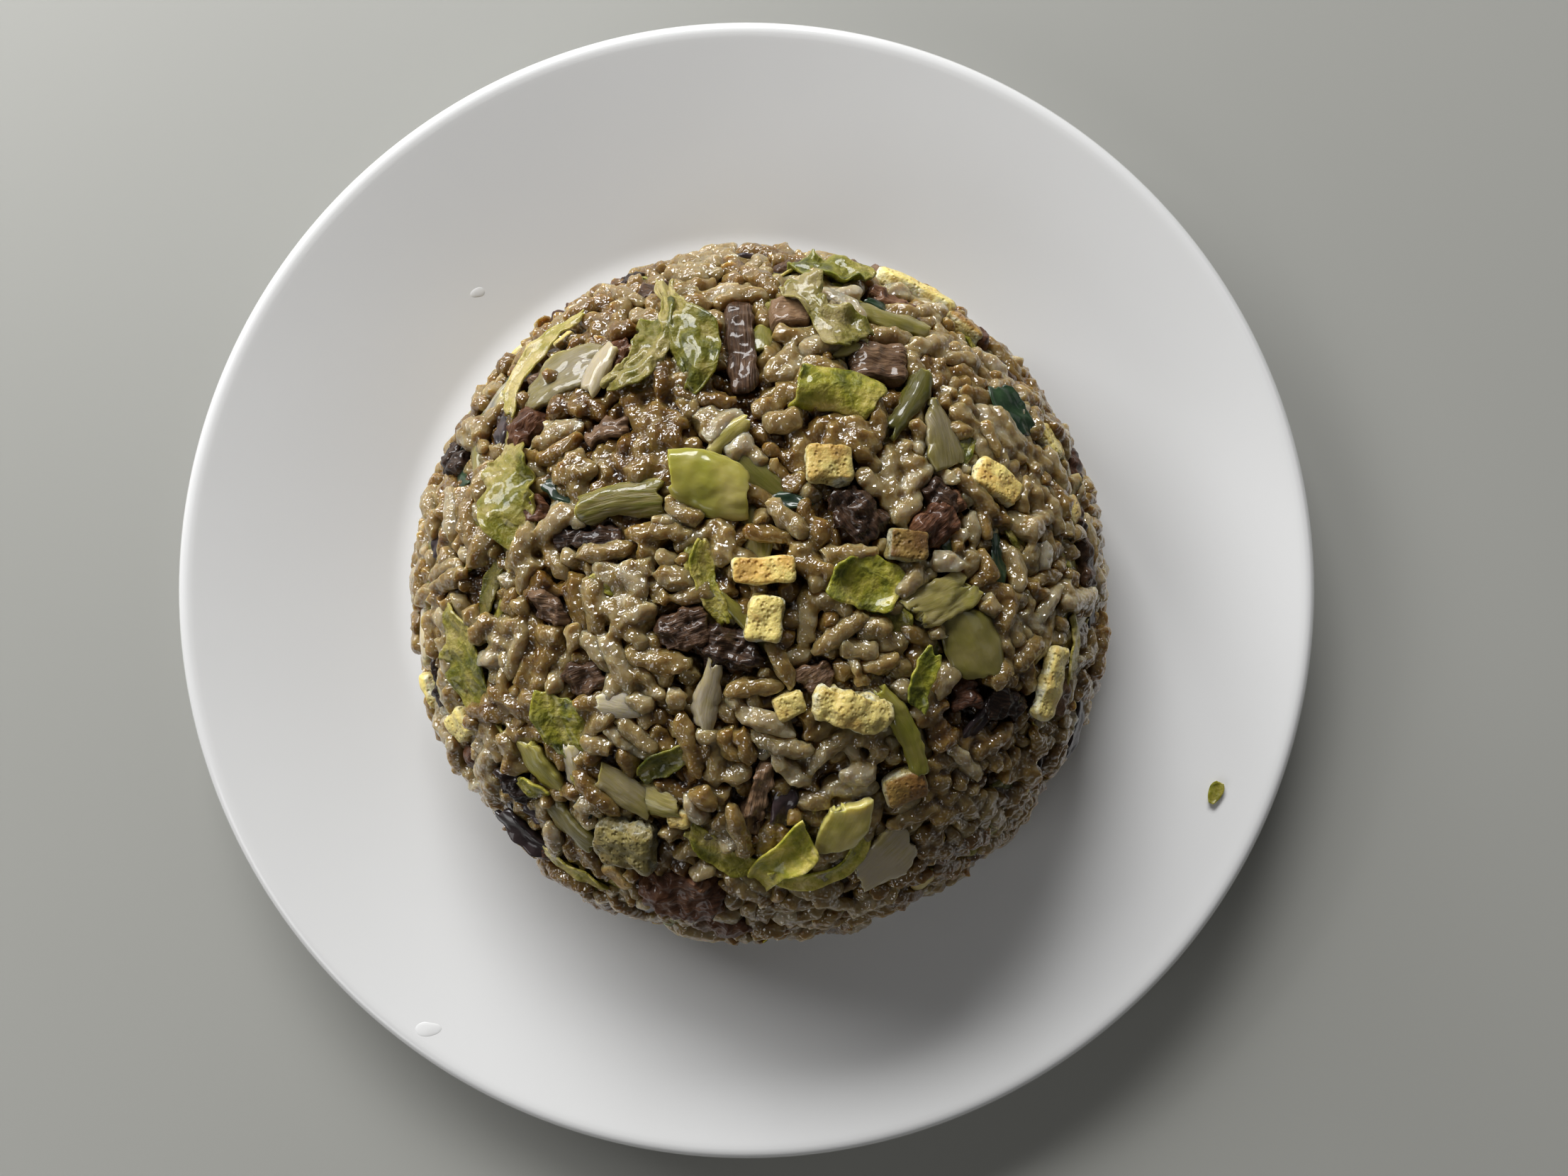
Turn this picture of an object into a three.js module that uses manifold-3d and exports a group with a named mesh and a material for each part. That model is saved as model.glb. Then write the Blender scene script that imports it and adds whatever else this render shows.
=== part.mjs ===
// A plate of fried rice: a dome of rice turned out of a round bowl onto a white plate, with
// cabbage, egg, mushroom, wood ear and meat mixed into it.
// Millimetres, +Z up. The origin is under the centre of the plate, on the surface it stands on.
import * as THREE from 'three';
import { mergeVertices } from 'three/addons/utils/BufferGeometryUtils.js';
import Module from 'manifold-3d';

const wasm = await Module();
wasm.setup();

// ---- Driving sizes ----------------------------------------------------------------------------

// The plate: a flat well, a cove and a wide sloping rim with a rolled edge, on a foot ring.
const PLATE_RADIUS = 103;
const PLATE_WALL = 4;
const WELL_RADIUS = 64;
const WELL_LEVEL = 5;
const COVE_RADIUS = 12;
const RIM_SLOPE = 17;
const FOOT_RADIUS = 57;
const FOOT_WIDTH = 4;
const FOOT_RISE = 1.6;
const PLATE_SEGMENTS = 64;

// The heap: what a bowl leaves when it is lifted off, a little off the plate's centre.
const HEAP_CENTRE = [2.4, -0.6];
const HEAP_RADIUS = 62;
const HEAP_HEIGHT = 50;
const HEAP_POWER = 2.4;
const GAP = 0.3;
const HEAP_BASE = WELL_LEVEL + GAP;

// The core under the rice that shows, and the grains that lie half sunk in it.
const CORE_DEPTH = 2.3;
const CORE_SEGMENTS = 28;
const CORE_RINGS = 7;
const GRAIN_LENGTH = 10;
const GRAIN_THICKNESS = 3.2;
const GRAIN_RISE = 0.35;
const GRAIN_SPOTS = 275;
const GRAIN_TRIES = 5;
const GRAIN_TILT = 0.22;

// Edges of the finished heap shorter than this are merged.
const HEAP_TOLERANCE = 0.15;

// ---- Small tools ------------------------------------------------------------------------------

const UP = new THREE.Vector3(0, 0, 1);
const heapFoot = new THREE.Vector3(HEAP_CENTRE[0], HEAP_CENTRE[1], HEAP_BASE);

// A seeded random number from 0 to 1, the same on every run.
function seededRandom(seed) {
  let state = seed;
  return () => {
    state = (state + 0x6d2b79f5) | 0;
    let t = Math.imul(state ^ (state >>> 15), 1 | state);
    t = (t + Math.imul(t ^ (t >>> 7), 61 | t)) ^ t;
    return ((t ^ (t >>> 14)) >>> 0) / 4294967296;
  };
}

// A closed three.js geometry as a solid that can be joined and cut.
function solidFrom(geometry) {
  const bare = geometry.index ? geometry.toNonIndexed() : geometry.clone();
  bare.deleteAttribute('normal');
  bare.deleteAttribute('uv');
  const merged = mergeVertices(bare, 1e-4);
  return new wasm.Manifold(
    new wasm.Mesh({
      numProp: 3,
      vertProperties: new Float32Array(merged.attributes.position.array),
      triVerts: new Uint32Array(merged.index.array),
    }),
  );
}

// The largest body of a solid: a loose scrap that a cut leaves is dropped.
function largestBody(solid) {
  const bodies = solid.decompose();
  return bodies.reduce((a, b) => (b.volume() > a.volume() ? b : a));
}

// A solid as a named mesh.
function meshFrom(solid, name, material) {
  const { numProp, vertProperties, triVerts } = solid.getMesh();
  const places = new Float32Array((vertProperties.length / numProp) * 3);
  for (let i = 0; i < places.length / 3; i++) {
    places.set(vertProperties.subarray(i * numProp, i * numProp + 3), i * 3);
  }
  const geometry = new THREE.BufferGeometry();
  geometry.setAttribute('position', new THREE.BufferAttribute(places, 3));
  geometry.setIndex(new THREE.BufferAttribute(triVerts, 1));
  geometry.computeVertexNormals();
  const mesh = new THREE.Mesh(geometry, material);
  mesh.name = name;
  return mesh;
}

// Whether two boxes come closer than a gap.
function boxesMeet(a, b) {
  return [0, 1, 2].every((i) => a.min[i] < b.max[i] && b.min[i] < a.max[i]);
}

// ---- The heap's skin --------------------------------------------------------------------------

// The point on a dome, some depth under the heap's skin, that lies from the heap's foot in a direction.
function domePoint(direction, depth = 0) {
  const radius = HEAP_RADIUS - depth;
  const height = HEAP_HEIGHT - depth;
  const flat = Math.hypot(direction.x, direction.y) / radius;
  const up = Math.max(direction.z, 0) / height;
  const reach = (flat ** HEAP_POWER + up ** HEAP_POWER) ** (-1 / HEAP_POWER);
  return direction.clone().multiplyScalar(reach).add(heapFoot);
}

// The dome's outward normal at a point on it.
function domeNormal(point, depth = 0) {
  const [x, y, z] = point.clone().sub(heapFoot).toArray();
  const radius = HEAP_RADIUS - depth;
  const height = HEAP_HEIGHT - depth;
  const flat = Math.max(Math.hypot(x, y), 1e-6);
  const out = (flat / radius) ** (HEAP_POWER - 1) / radius;
  const up = (Math.max(z, 0) / height) ** (HEAP_POWER - 1) / height;
  return new THREE.Vector3((x / flat) * out, (y / flat) * out, up).normalize();
}

// A place on the core seen from above at [x, y]: the point, its normal, and the two directions
// along the core, ahead at the given turn and aside to the left of it.
function placeOnCore([x, y], turn) {
  const across = new THREE.Vector2(x - HEAP_CENTRE[0], y - HEAP_CENTRE[1]);
  const radius = HEAP_RADIUS - CORE_DEPTH;
  const share = Math.min(across.length() / radius, 0.985);
  across.setLength(share * radius);
  const z = (HEAP_HEIGHT - CORE_DEPTH) * (1 - share ** HEAP_POWER) ** (1 / HEAP_POWER);
  const point = new THREE.Vector3(across.x, across.y, z).add(heapFoot);
  const normal = domeNormal(point, CORE_DEPTH);
  const angle = THREE.MathUtils.degToRad(turn);
  const ahead = new THREE.Vector3(Math.cos(angle), Math.sin(angle), 0);
  ahead.addScaledVector(normal, -ahead.dot(normal)).normalize();
  return { point, normal, ahead, aside: normal.clone().cross(ahead) };
}

// A point that lies so far ahead and aside of a place, measured along the core, and so high above it.
function overCore(place, ahead, aside, height) {
  const direction = place.point
    .clone()
    .addScaledVector(place.ahead, ahead)
    .addScaledVector(place.aside, aside)
    .sub(heapFoot)
    .normalize();
  direction.z = Math.max(direction.z, 0.02);
  const point = domePoint(direction, CORE_DEPTH);
  return point.addScaledVector(domeNormal(point, CORE_DEPTH), height);
}

// ---- Plate ------------------------------------------------------------------------------------

// Points along an arc in the plate's section, from one angle to another in degrees.
function arcPoints(r, z, radius, from, to, steps) {
  return Array.from({ length: steps + 1 }, (_, i) => {
    const angle = THREE.MathUtils.degToRad(from + ((to - from) * i) / steps);
    return new THREE.Vector2(r + radius * Math.cos(angle), z + radius * Math.sin(angle));
  });
}

// The height of the rim's upper face at a distance from the plate's centre.
function rimLevel(distance) {
  const slope = THREE.MathUtils.degToRad(RIM_SLOPE);
  const coveEnd = WELL_RADIUS + COVE_RADIUS * Math.sin(slope);
  const coveLevel = WELL_LEVEL + COVE_RADIUS * (1 - Math.cos(slope));
  return coveLevel + (distance - coveEnd) * Math.tan(slope);
}

function plate() {
  const roll = PLATE_WALL / 2;
  const slope = THREE.MathUtils.degToRad(RIM_SLOPE);
  const edgeRadius = PLATE_RADIUS - roll;
  const edge = [edgeRadius, rimLevel(edgeRadius - roll * Math.sin(slope)) - roll * Math.cos(slope)];
  const coveCentre = [WELL_RADIUS, WELL_LEVEL + COVE_RADIUS];
  const under = WELL_LEVEL - PLATE_WALL + FOOT_RISE / 2;
  const footOut = FOOT_RADIUS + FOOT_WIDTH / 2;
  const footIn = FOOT_RADIUS - FOOT_WIDTH / 2;
  const point = (r, z) => new THREE.Vector2(r, z);
  const profile = [
    point(0, FOOT_RISE),
    point(footIn - 1, FOOT_RISE),
    point(footIn, 0),
    point(footOut, 0),
    point(footOut + 2, under),
    ...arcPoints(WELL_RADIUS, under + COVE_RADIUS * 1.4, COVE_RADIUS * 1.4, -90, -90 + RIM_SLOPE, 2),
    ...arcPoints(...edge, roll, -90 + RIM_SLOPE, 90 + RIM_SLOPE, 5),
    ...arcPoints(...coveCentre, COVE_RADIUS, -90 + RIM_SLOPE, -90, 3),
    point(0, WELL_LEVEL),
  ];
  const turned = new THREE.LatheGeometry(profile, PLATE_SEGMENTS);
  return solidFrom(turned.rotateX(Math.PI / 2));
}

// ---- Pieces that lie in the rice --------------------------------------------------------------

// A flat piece bent onto the core: a leaf, a stalk, a strip of mushroom. Its length runs along
// `turn`. bow lifts its ends, cup its long edges, bend curves it to the left, twist winds it,
// ruffle waves its edges, and tips are the shares of its width at its start and end.
// grow makes it larger all round, for the space it needs.
function flatPiece({ at, turn, size, grow = 0, steps = [6, 3], ...shape }) {
  const [length, width, thickness] = size;
  const { rise = 0, bow = 0, cup = 0, bend = 0, twist = 0, ruffle = 0, tips = [0.5, 0.4] } = shape;
  const place = placeOnCore(at, turn);
  const [stepsAlong, stepsAcross] = steps;
  const halfWidth = (u) => {
    const tip = u < 0 ? tips[0] : tips[1];
    return 0.5 * width * (1 - (1 - tip) * Math.abs(u) ** 2.2);
  };
  const bendAngle = THREE.MathUtils.degToRad(bend) / 2;
  const twistAngle = THREE.MathUtils.degToRad(twist) / 2;

  // The middle of the sheet at u along and v across, each from -1 to 1.
  const middle = (u, v) => {
    const reach = 1 + (2 * grow) / length;
    const heading = bendAngle * u;
    const turnRadius = Math.abs(bendAngle) > 0.01 ? length / 2 / bendAngle : 0;
    const spineAhead = turnRadius ? turnRadius * Math.sin(heading * reach) : (length / 2) * u * reach;
    const spineAside = turnRadius ? turnRadius * (1 - Math.cos(heading * reach)) : 0;
    const side = v * (halfWidth(u) + grow);
    const roll = twistAngle * u;
    const ahead = spineAhead - Math.sin(heading) * side * Math.cos(roll);
    const aside = spineAside + Math.cos(heading) * side * Math.cos(roll);
    const wave = ruffle * v * v * Math.sin(u * 7 + v * 2);
    const height = rise + bow * u * u + cup * v * v + side * Math.sin(roll) + wave;
    return overCore(place, ahead, aside, GAP + thickness / 2 + Math.max(height, 0));
  };

  const half = thickness / 2 + grow;
  const sheetPoint = (i, j, side) => {
    const u = (2 * i) / stepsAlong - 1;
    const v = (2 * j) / stepsAcross - 1;
    const e = 0.02;
    const along = middle(u + e, v).sub(middle(u - e, v));
    const across = middle(u, v + e).sub(middle(u, v - e));
    const normal = along.cross(across).normalize();
    const edge = 1 - 0.45 * Math.max(Math.abs(u), Math.abs(v)) ** 6;
    return middle(u, v).addScaledVector(normal, side * (grow ? half : half * edge));
  };
  return solidFrom(sheetGeometry(stepsAlong, stepsAcross, sheetPoint));
}

// A thin closed sheet from a grid of points: both faces are split into triangles alike.
function sheetGeometry(stepsAlong, stepsAcross, pointAt) {
  const row = stepsAcross + 1;
  const perFace = (stepsAlong + 1) * row;
  const places = [];
  for (const side of [1, -1]) {
    for (let i = 0; i <= stepsAlong; i++) {
      for (let j = 0; j <= stepsAcross; j++) places.push(...pointAt(i, j, side).toArray());
    }
  }
  const top = (i, j) => i * row + j;
  const faces = [];
  const quad = (a, b, c, d) => faces.push(a, b, c, a, c, d);
  for (let i = 0; i < stepsAlong; i++) {
    for (let j = 0; j < stepsAcross; j++) {
      const corners = [top(i, j), top(i + 1, j), top(i + 1, j + 1), top(i, j + 1)];
      const [a, b, c, d] = corners;
      quad(a, b, c, d);
      const [e, f, g, h] = corners.map((k) => k + perFace);
      faces.push(e, g, f, e, h, g);
    }
  }
  const wall = (a, b) => quad(b, a, a + perFace, b + perFace);
  for (let i = 0; i < stepsAlong; i++) {
    wall(top(i, 0), top(i + 1, 0));
    wall(top(i + 1, stepsAcross), top(i, stepsAcross));
  }
  for (let j = 0; j < stepsAcross; j++) {
    wall(top(0, j + 1), top(0, j));
    wall(top(stepsAlong, j), top(stepsAlong, j + 1));
  }
  const geometry = new THREE.BufferGeometry();
  geometry.setAttribute('position', new THREE.Float32BufferAttribute(places, 3));
  geometry.setIndex(faces);
  return geometry;
}

// A thick piece with uneven rounded corners: a dice of egg, a lump of mushroom or meat.
function chunkPiece({ at, turn, size, grow = 0, rise = 0, tilt = 0, seed = 1 }) {
  const [length, width, thickness] = size;
  const place = placeOnCore(at, turn);
  const random = seededRandom(seed);
  const box = new THREE.BoxGeometry(2, 2, 2, 2, 2, 2);
  box.deleteAttribute('normal');
  box.deleteAttribute('uv');
  const shape = mergeVertices(box, 1e-4);
  const corner = shape.attributes.position;
  const lean = Math.tan(THREE.MathUtils.degToRad(tilt));
  for (let i = 0; i < corner.count; i++) {
    const [u, v, w] = [corner.getX(i), corner.getY(i), corner.getZ(i)];
    const outer = Math.abs(u) ** 4 + Math.abs(v) ** 4 + Math.abs(w) ** 4;
    const round = outer > 1 ? outer ** -0.13 : 1;
    const uneven = 1 + 0.16 * (random() - 0.5);
    const ahead = u * round * uneven * (length / 2 + grow);
    const aside = v * round * uneven * (width / 2 + grow);
    const up = (w * round * uneven * (thickness / 2 + grow)) + lean * ahead;
    const point = overCore(place, ahead, aside, GAP + thickness / 2 + rise + up);
    corner.setXYZ(i, ...point.toArray());
  }
  return solidFrom(shape);
}

// Name, place [x, y] seen from above, turn in degrees, length, width, and how it lies.
const LEAVES = [
  ['leaf_hero_right', [18.7, 1.2], -8, 11, 8, { rise: 1.6, cup: 0.8, bow: 0.5, tips: [0.85, 0.9] }],
  ['leaf_hero_top', [14, 30.6], -6, 12, 8, { rise: 1, cup: 1.4, tips: [0.8, 0.75] }],
  ['leaf_hero_left', [-42.5, -11.5], -68, 15, 8.5, { rise: 0.9, cup: 0.6, bend: 10, tips: [0.7, 0.5] }],
  ['leaf_bright_left', [-26.3, -20.5], -78, 10, 7.5, { rise: 1.2, cup: 0.7, tips: [0.9, 0.5] }],
  ['leaf_twisted', [-7.5, 38.5], -72, 19, 6, { rise: 1.6, cup: 1.2, twist: 60, bend: -15, tips: [0.3, 0.4] }],
  ['leaf_folded', [-12.8, 34], -108, 14.5, 4.4, { rise: 0.8, cup: 1, twist: 25, bend: 24, tips: [0.8, 0.6] }],
  ['leaf_ribbon', [-34, 36], -120, 21, 2.8, { rise: 0.8, cup: 0.5, bend: 86, tips: [0.5, 0.5] }],
  ['leaf_crumpled', [-34.3, 15.5], -68, 14, 8, { rise: 0.6, cup: 0.9, ruffle: 0.5, tips: [0.5, 0.6] }],
  ['leaf_curl_pale', [12, 42], -62, 12.5, 6, { rise: 1.2, cup: 1.6, twist: -40, tips: [0.5, 0.6] }],
  ['leaf_green_top', [14.7, 50], -6, 10.5, 4.6, { cup: 0.6, tips: [0.7, 0.5] }],
  ['leaf_top_edge', [-7.5, 59], 8, 11, 4.4, { rise: 0.4, cup: 0.5, tips: [0.7, 0.5] }],
  ['leaf_edge_bright', [26.4, -12.6], 72, 8, 3.6, { rise: 1, cup: 1, tips: [0.6, 0.5] }],
  ['leaf_silver_right', [52.3, -8.5], 82, 11, 4, { rise: 0.6, cup: 0.5, tips: [0.5, 0.6] }],
  ['leaf_olive_strip', [-4.8, 1], -72, 12.5, 4, { rise: 0.8, twist: 30, cup: 0.5, tips: [0.5, 0.6] }],
  ['leaf_strip_left', [-38, 0.5], 66, 11, 3.6, { rise: 0.4, cup: 0.6, bend: 20, tips: [0.5, 0.5] }],
  ['leaf_pale_edge', [-26, -44.6], -30, 11, 4.2, { rise: 0.4, cup: 0.5, tips: [0.6, 0.5] }],
  ['leaf_curl_mid', [-11.4, -25.4], 28, 9, 4, { rise: 0.5, cup: 1, tips: [0.5, 0.5] }],
  ['leaf_long_bottom', [-2.9, -40], -50, 12, 3.8, { rise: 0.6, cup: 0.5, tips: [0.6, 0.7] }],
  ['leaf_film_edge', [38, -41.3], 42, 11, 5, { rise: 0.3, cup: 0.4, tips: [0.5, 0.6] }],
];

const STALKS = [
  ['heart_green', [-4, 15.2], -22, 12.5, 8.6, { rise: 1.4, bow: 0.6, tips: [0.55, 0.6] }],
  ['stalk_pentagon', [34.6, -8], -62, 12, 8.8, { rise: 1, tips: [0.7, 0.45] }],
  ['stalk_glossy', [30, -1.2], 24, 10, 5.6, { rise: 0.5, tips: [0.6, 0.6] }],
  ['stalk_translucent', [-27, 33.2], 14, 13.5, 6.8, { rise: 0.5, tips: [0.6, 0.7] }],
  ['stalk_fibrous', [-17, 13.2], 6, 12.5, 4.6, { rise: 0.4, tips: [0.8, 0.8] }],
  ['stalk_green_right', [23, 42.2], -6, 12.5, 4, { rise: 0.3, tips: [0.8, 0.6] }],
  ['stalk_olive', [25.8, 28.3], 57, 12, 3, { rise: 0.8, tips: [0.6, 0.8] }],
  ['stalk_pear', [30.1, 23.6], 97, 10.5, 5.4, { rise: 0.3, tips: [0.9, 0.3] }],
  ['strand_long', [24.6, -20.6], -61, 15, 2.6, { rise: 1, bend: 10, tips: [0.6, 0.9] }],
  ['onion_bottom', [22, -41], 55, 10.5, 7.8, { rise: 0.6, tips: [0.6, 0.8] }],
  ['stalk_yellow', [15.4, -34.6], 75, 8.6, 6.6, { rise: 0.8, tips: [0.8, 0.8] }],
  ['stalk_left_low', [-30.3, -26.6], -66, 8.5, 4.4, { rise: 0.4, tips: [0.8, 0.7] }],
  ['stalk_left_bottom', [-26.2, -36.4], -40, 9, 4, { rise: 0.2, tips: [0.6, 0.5] }],
  ['stalk_middle', [-17, -29.8], -42, 9, 4, { rise: 0.3, tips: [0.7, 0.7] }],
  ['stalk_white', [-4.4, -15.2], 78, 9.5, 3, { rise: 0.6, tips: [0.7, 0.7] }],
];

const DARK_LEAVES = [
  ['dark_leaf_right', [43.5, 28], -48, 9, 5.5, { rise: 0.4, cup: 0.5, tips: [0.6, 0.5] }],
  ['dark_leaf_slit', [38.9, 4.6], -78, 8.5, 2.8, { rise: 0.6, tips: [0.5, 0.5] }],
];

// Name, place, turn, length, width, thickness, and how it lies.
const EGG_DICE = [
  ['egg_cube_centre', [13.2, 18.3], 2, 7.4, 5.8, 5, { rise: 0.4 }],
  ['egg_slab', [3.8, 3], 2, 9.5, 4.2, 3.6, { rise: 1 }],
  ['egg_cube_yellow', [4, -3.8], 80, 6.8, 5.2, 5, { rise: 0.3 }],
  ['egg_cube_tan', [24.2, 6.6], -5, 6, 4.4, 4, { rise: 0.8 }],
  ['egg_lump', [16.5, -17], -15, 11, 5.4, 4.4, { rise: 0.2 }],
  ['egg_porous', [-17.2, -37.8], -8, 9.6, 7.8, 4.4, { rise: 0.2 }],
  ['egg_flake_right', [38.6, 16.2], -24, 8.5, 4.8, 2.6, { rise: 0.4 }],
  ['egg_right', [46.8, -13.8], 76, 11.5, 4, 2.8, { rise: 0 }],
  ['egg_strip_top', [28, 48.4], -14, 14, 3.6, 2.6, { rise: 0.3 }],
  ['egg_edge_left', [-40, 38.8], 48, 12.5, 4, 2.4, { rise: 0.3 }],
];

const MUSHROOMS = [
  ['mushroom_strip', [0.2, 37.2], -87, 16, 4.2, 2.8, { rise: 0 }],
  ['mushroom_purple', [21, 34.6], 5, 8.4, 7, 2.8, { rise: 0 }],
  ['mushroom_dark', [17.2, 11], -50, 7.6, 5.6, 3, { rise: 0 }],
  ['mushroom_black', [-1.6, -8.6], -14, 8.6, 4.4, 2.8, { rise: 0 }],
  ['mushroom_cube', [7.6, 42], 5, 5.8, 5, 3.6, { rise: 0 }],
];

const MEATS = [
  ['meat_large', [-9.2, -47.8], 18, 13, 9.4, 3.4, { rise: 0 }],
  ['meat_red', [29, 9.8], 40, 6, 5, 3.2, { rise: 0 }],
];

const WOOD_EARS = [
  ['ear_left_bottom', [-34.3, -38.5], -52, 10, 5.4, { rise: 0.3, cup: 1, bow: 0.4, tips: [0.7, 0.6] }],
  ['ear_right', [54, -22.5], -62, 10.5, 5, { rise: 0.3, cup: 0.8, tips: [0.6, 0.7] }],
];

const LEAF_THICKNESS = 0.9;
const STALK_THICKNESS = 1.8;
const EAR_THICKNESS = 1.3;

// The big leaf at the bottom is folded: a wide blade, and a ribbon that leaves its side.
const FOLDED_BLADE = { at: [5, -40.6], turn: 57, bow: 0.8, cup: 0.8, rise: 1.2, tips: [0.25, 0.85] };
const FOLDED_RIBBON = { at: [14, -42.2], turn: 18, bend: 44, cup: 0.9, rise: 1.2, tips: [0.9, 0.4] };

// A scrap of leaf that fell on the plate's rim.
const CRUMB_SIZE = [4, 2.4, 0.6];
const CRUMB_PLACE = [85.2, -36.8];

function finish(color, roughness) {
  return new THREE.MeshStandardMaterial({ color, roughness, metalness: 0 });
}

const FINISHES = {
  porcelain: finish(0xe9e8e4, 0.12),
  rice: finish(0xb09a78, 0.35),
  leaf: finish(0x9aa535, 0.3),
  stalk: finish(0xa3a36a, 0.25),
  dark_leaf: finish(0x26352a, 0.3),
  egg: finish(0xdcc070, 0.45),
  mushroom: finish(0x5e4636, 0.4),
  meat: finish(0x6e4f40, 0.4),
  wood_ear: finish(0x2a2220, 0.25),
};

// Every piece in the rice as { name, kind, make }, where make(grow) gives its solid.
function listPieces() {
  const flat = (kind, thickness, steps) => ([name, at, turn, length, width, shape]) => ({
    name,
    kind,
    make: (grow) => flatPiece({ at, turn, size: [length, width, thickness], steps, grow, ...shape }),
  });
  const thick = (kind) => ([name, at, turn, length, width, thickness, shape], index) => ({
    name,
    kind,
    make: (grow) =>
      chunkPiece({ at, turn, size: [length, width, thickness], grow, seed: index + 5, ...shape }),
  });
  const foldedLeaf = {
    name: 'leaf_folded_bottom',
    kind: 'leaf',
    make: (grow) => {
      const blade = flatPiece({ ...FOLDED_BLADE, size: [12.5, 8, LEAF_THICKNESS], steps: [5, 3], grow });
      const ribbon = flatPiece({ ...FOLDED_RIBBON, size: [16, 4, LEAF_THICKNESS], steps: [6, 2], grow });
      return blade.add(ribbon);
    },
  };
  return [
    ...EGG_DICE.map(thick('egg')),
    foldedLeaf,
    ...LEAVES.map(flat('leaf', LEAF_THICKNESS, [5, 3])),
    ...STALKS.map(flat('stalk', STALK_THICKNESS, [5, 2])),
    ...DARK_LEAVES.map(flat('dark_leaf', LEAF_THICKNESS, [5, 2])),
    ...WOOD_EARS.map(flat('wood_ear', EAR_THICKNESS, [5, 3])),
    ...MUSHROOMS.map(thick('mushroom')),
    ...MEATS.map(thick('meat')),
  ];
}

// Makes each piece clear of those before it, and the space that it takes out of the rice.
function fitPieces() {
  const fitted = [];
  for (const { name, kind, make } of listPieces()) {
    let solid = make(0);
    for (const other of fitted) {
      if (boxesMeet(solid.boundingBox(), other.space.boundingBox())) {
        solid = solid.subtract(other.space);
      }
    }
    fitted.push({ name, kind, solid: largestBody(solid), space: make(GAP) });
  }
  return fitted;
}

// The scrap of leaf on the rim: a thin curved solid lying on the rim's slope.
function rimCrumb() {
  const [length, width, thickness] = CRUMB_SIZE;
  const [x, y] = CRUMB_PLACE;
  const distance = Math.hypot(x, y);
  const rimRise = Math.tan(THREE.MathUtils.degToRad(RIM_SLOPE));
  const heading = new THREE.Vector3(y, -x, 0).normalize();
  const uphill = new THREE.Vector3(x / distance, y / distance, rimRise).normalize();
  const normal = heading.clone().cross(uphill);
  const pointAt = (i, j, side) => {
    const u = i / 2 - 1;
    const v = j - 0.5;
    const curl = 0.35 * u * u;
    return new THREE.Vector3(x, y, rimLevel(distance) + GAP)
      .addScaledVector(heading, (u * length) / 2)
      .addScaledVector(uphill, v * width * (1 - 0.3 * u))
      .addScaledVector(normal, curl + (side * thickness) / 2 + thickness / 2);
  };
  return solidFrom(sheetGeometry(4, 1, pointAt));
}

// ---- Rice -------------------------------------------------------------------------------------

// One cooked grain along X: two rings of five corners and two blunt tips.
function grainGeometry(length, thickness) {
  const grain = new THREE.CylinderGeometry(thickness / 2, thickness / 2, length * 0.52, 5, 1);
  grain.deleteAttribute('normal');
  grain.deleteAttribute('uv');
  const shape = mergeVertices(grain, 1e-4);
  const corner = shape.attributes.position;
  for (let i = 0; i < corner.count; i++) {
    const onAxis = Math.hypot(corner.getX(i), corner.getZ(i)) < 1e-4;
    if (onAxis) corner.setY(i, (Math.sign(corner.getY(i)) * length) / 2);
  }
  return shape.rotateZ(Math.PI / 2);
}

// The dome under the rice, closed by a flat base.
function core() {
  const radius = HEAP_RADIUS - CORE_DEPTH;
  const height = HEAP_HEIGHT - CORE_DEPTH;
  const profile = [new THREE.Vector2(0, 0), new THREE.Vector2(radius, 0)];
  for (let i = 1; i <= CORE_RINGS; i++) {
    const angle = (Math.PI / 2) * (i / CORE_RINGS);
    const r = radius * Math.cos(angle) ** (2 / HEAP_POWER);
    const z = height * Math.sin(angle) ** (2 / HEAP_POWER);
    profile.push(new THREE.Vector2(i === CORE_RINGS ? 0 : r, z));
  }
  const dome = new THREE.LatheGeometry(profile, CORE_SEGMENTS).rotateX(Math.PI / 2);
  return solidFrom(dome.translate(...heapFoot.toArray()));
}

// Spots spread evenly over the dome by the golden angle, from its top to its foot.
function evenSpots(count) {
  const steps = 400;
  const areas = [0];
  let last = domePoint(UP);
  for (let i = 1; i <= steps; i++) {
    const angle = (Math.PI / 2) * (1 - i / steps);
    const point = domePoint(new THREE.Vector3(Math.cos(angle), 0, Math.sin(angle)));
    const ring = (point.x + last.x) / 2 - heapFoot.x;
    areas.push(areas[i - 1] + ring * point.distanceTo(last));
    last = point;
  }
  const goldenAngle = Math.PI * (3 - Math.sqrt(5));
  return Array.from({ length: count }, (_, k) => {
    const wanted = (areas[steps] * (k + 0.5)) / count;
    const angle = (Math.PI / 2) * (1 - areas.findIndex((area) => area >= wanted) / steps);
    const around = k * goldenAngle;
    const flat = Math.cos(angle);
    return new THREE.Vector3(flat * Math.cos(around), flat * Math.sin(around), Math.sin(angle));
  });
}

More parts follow.
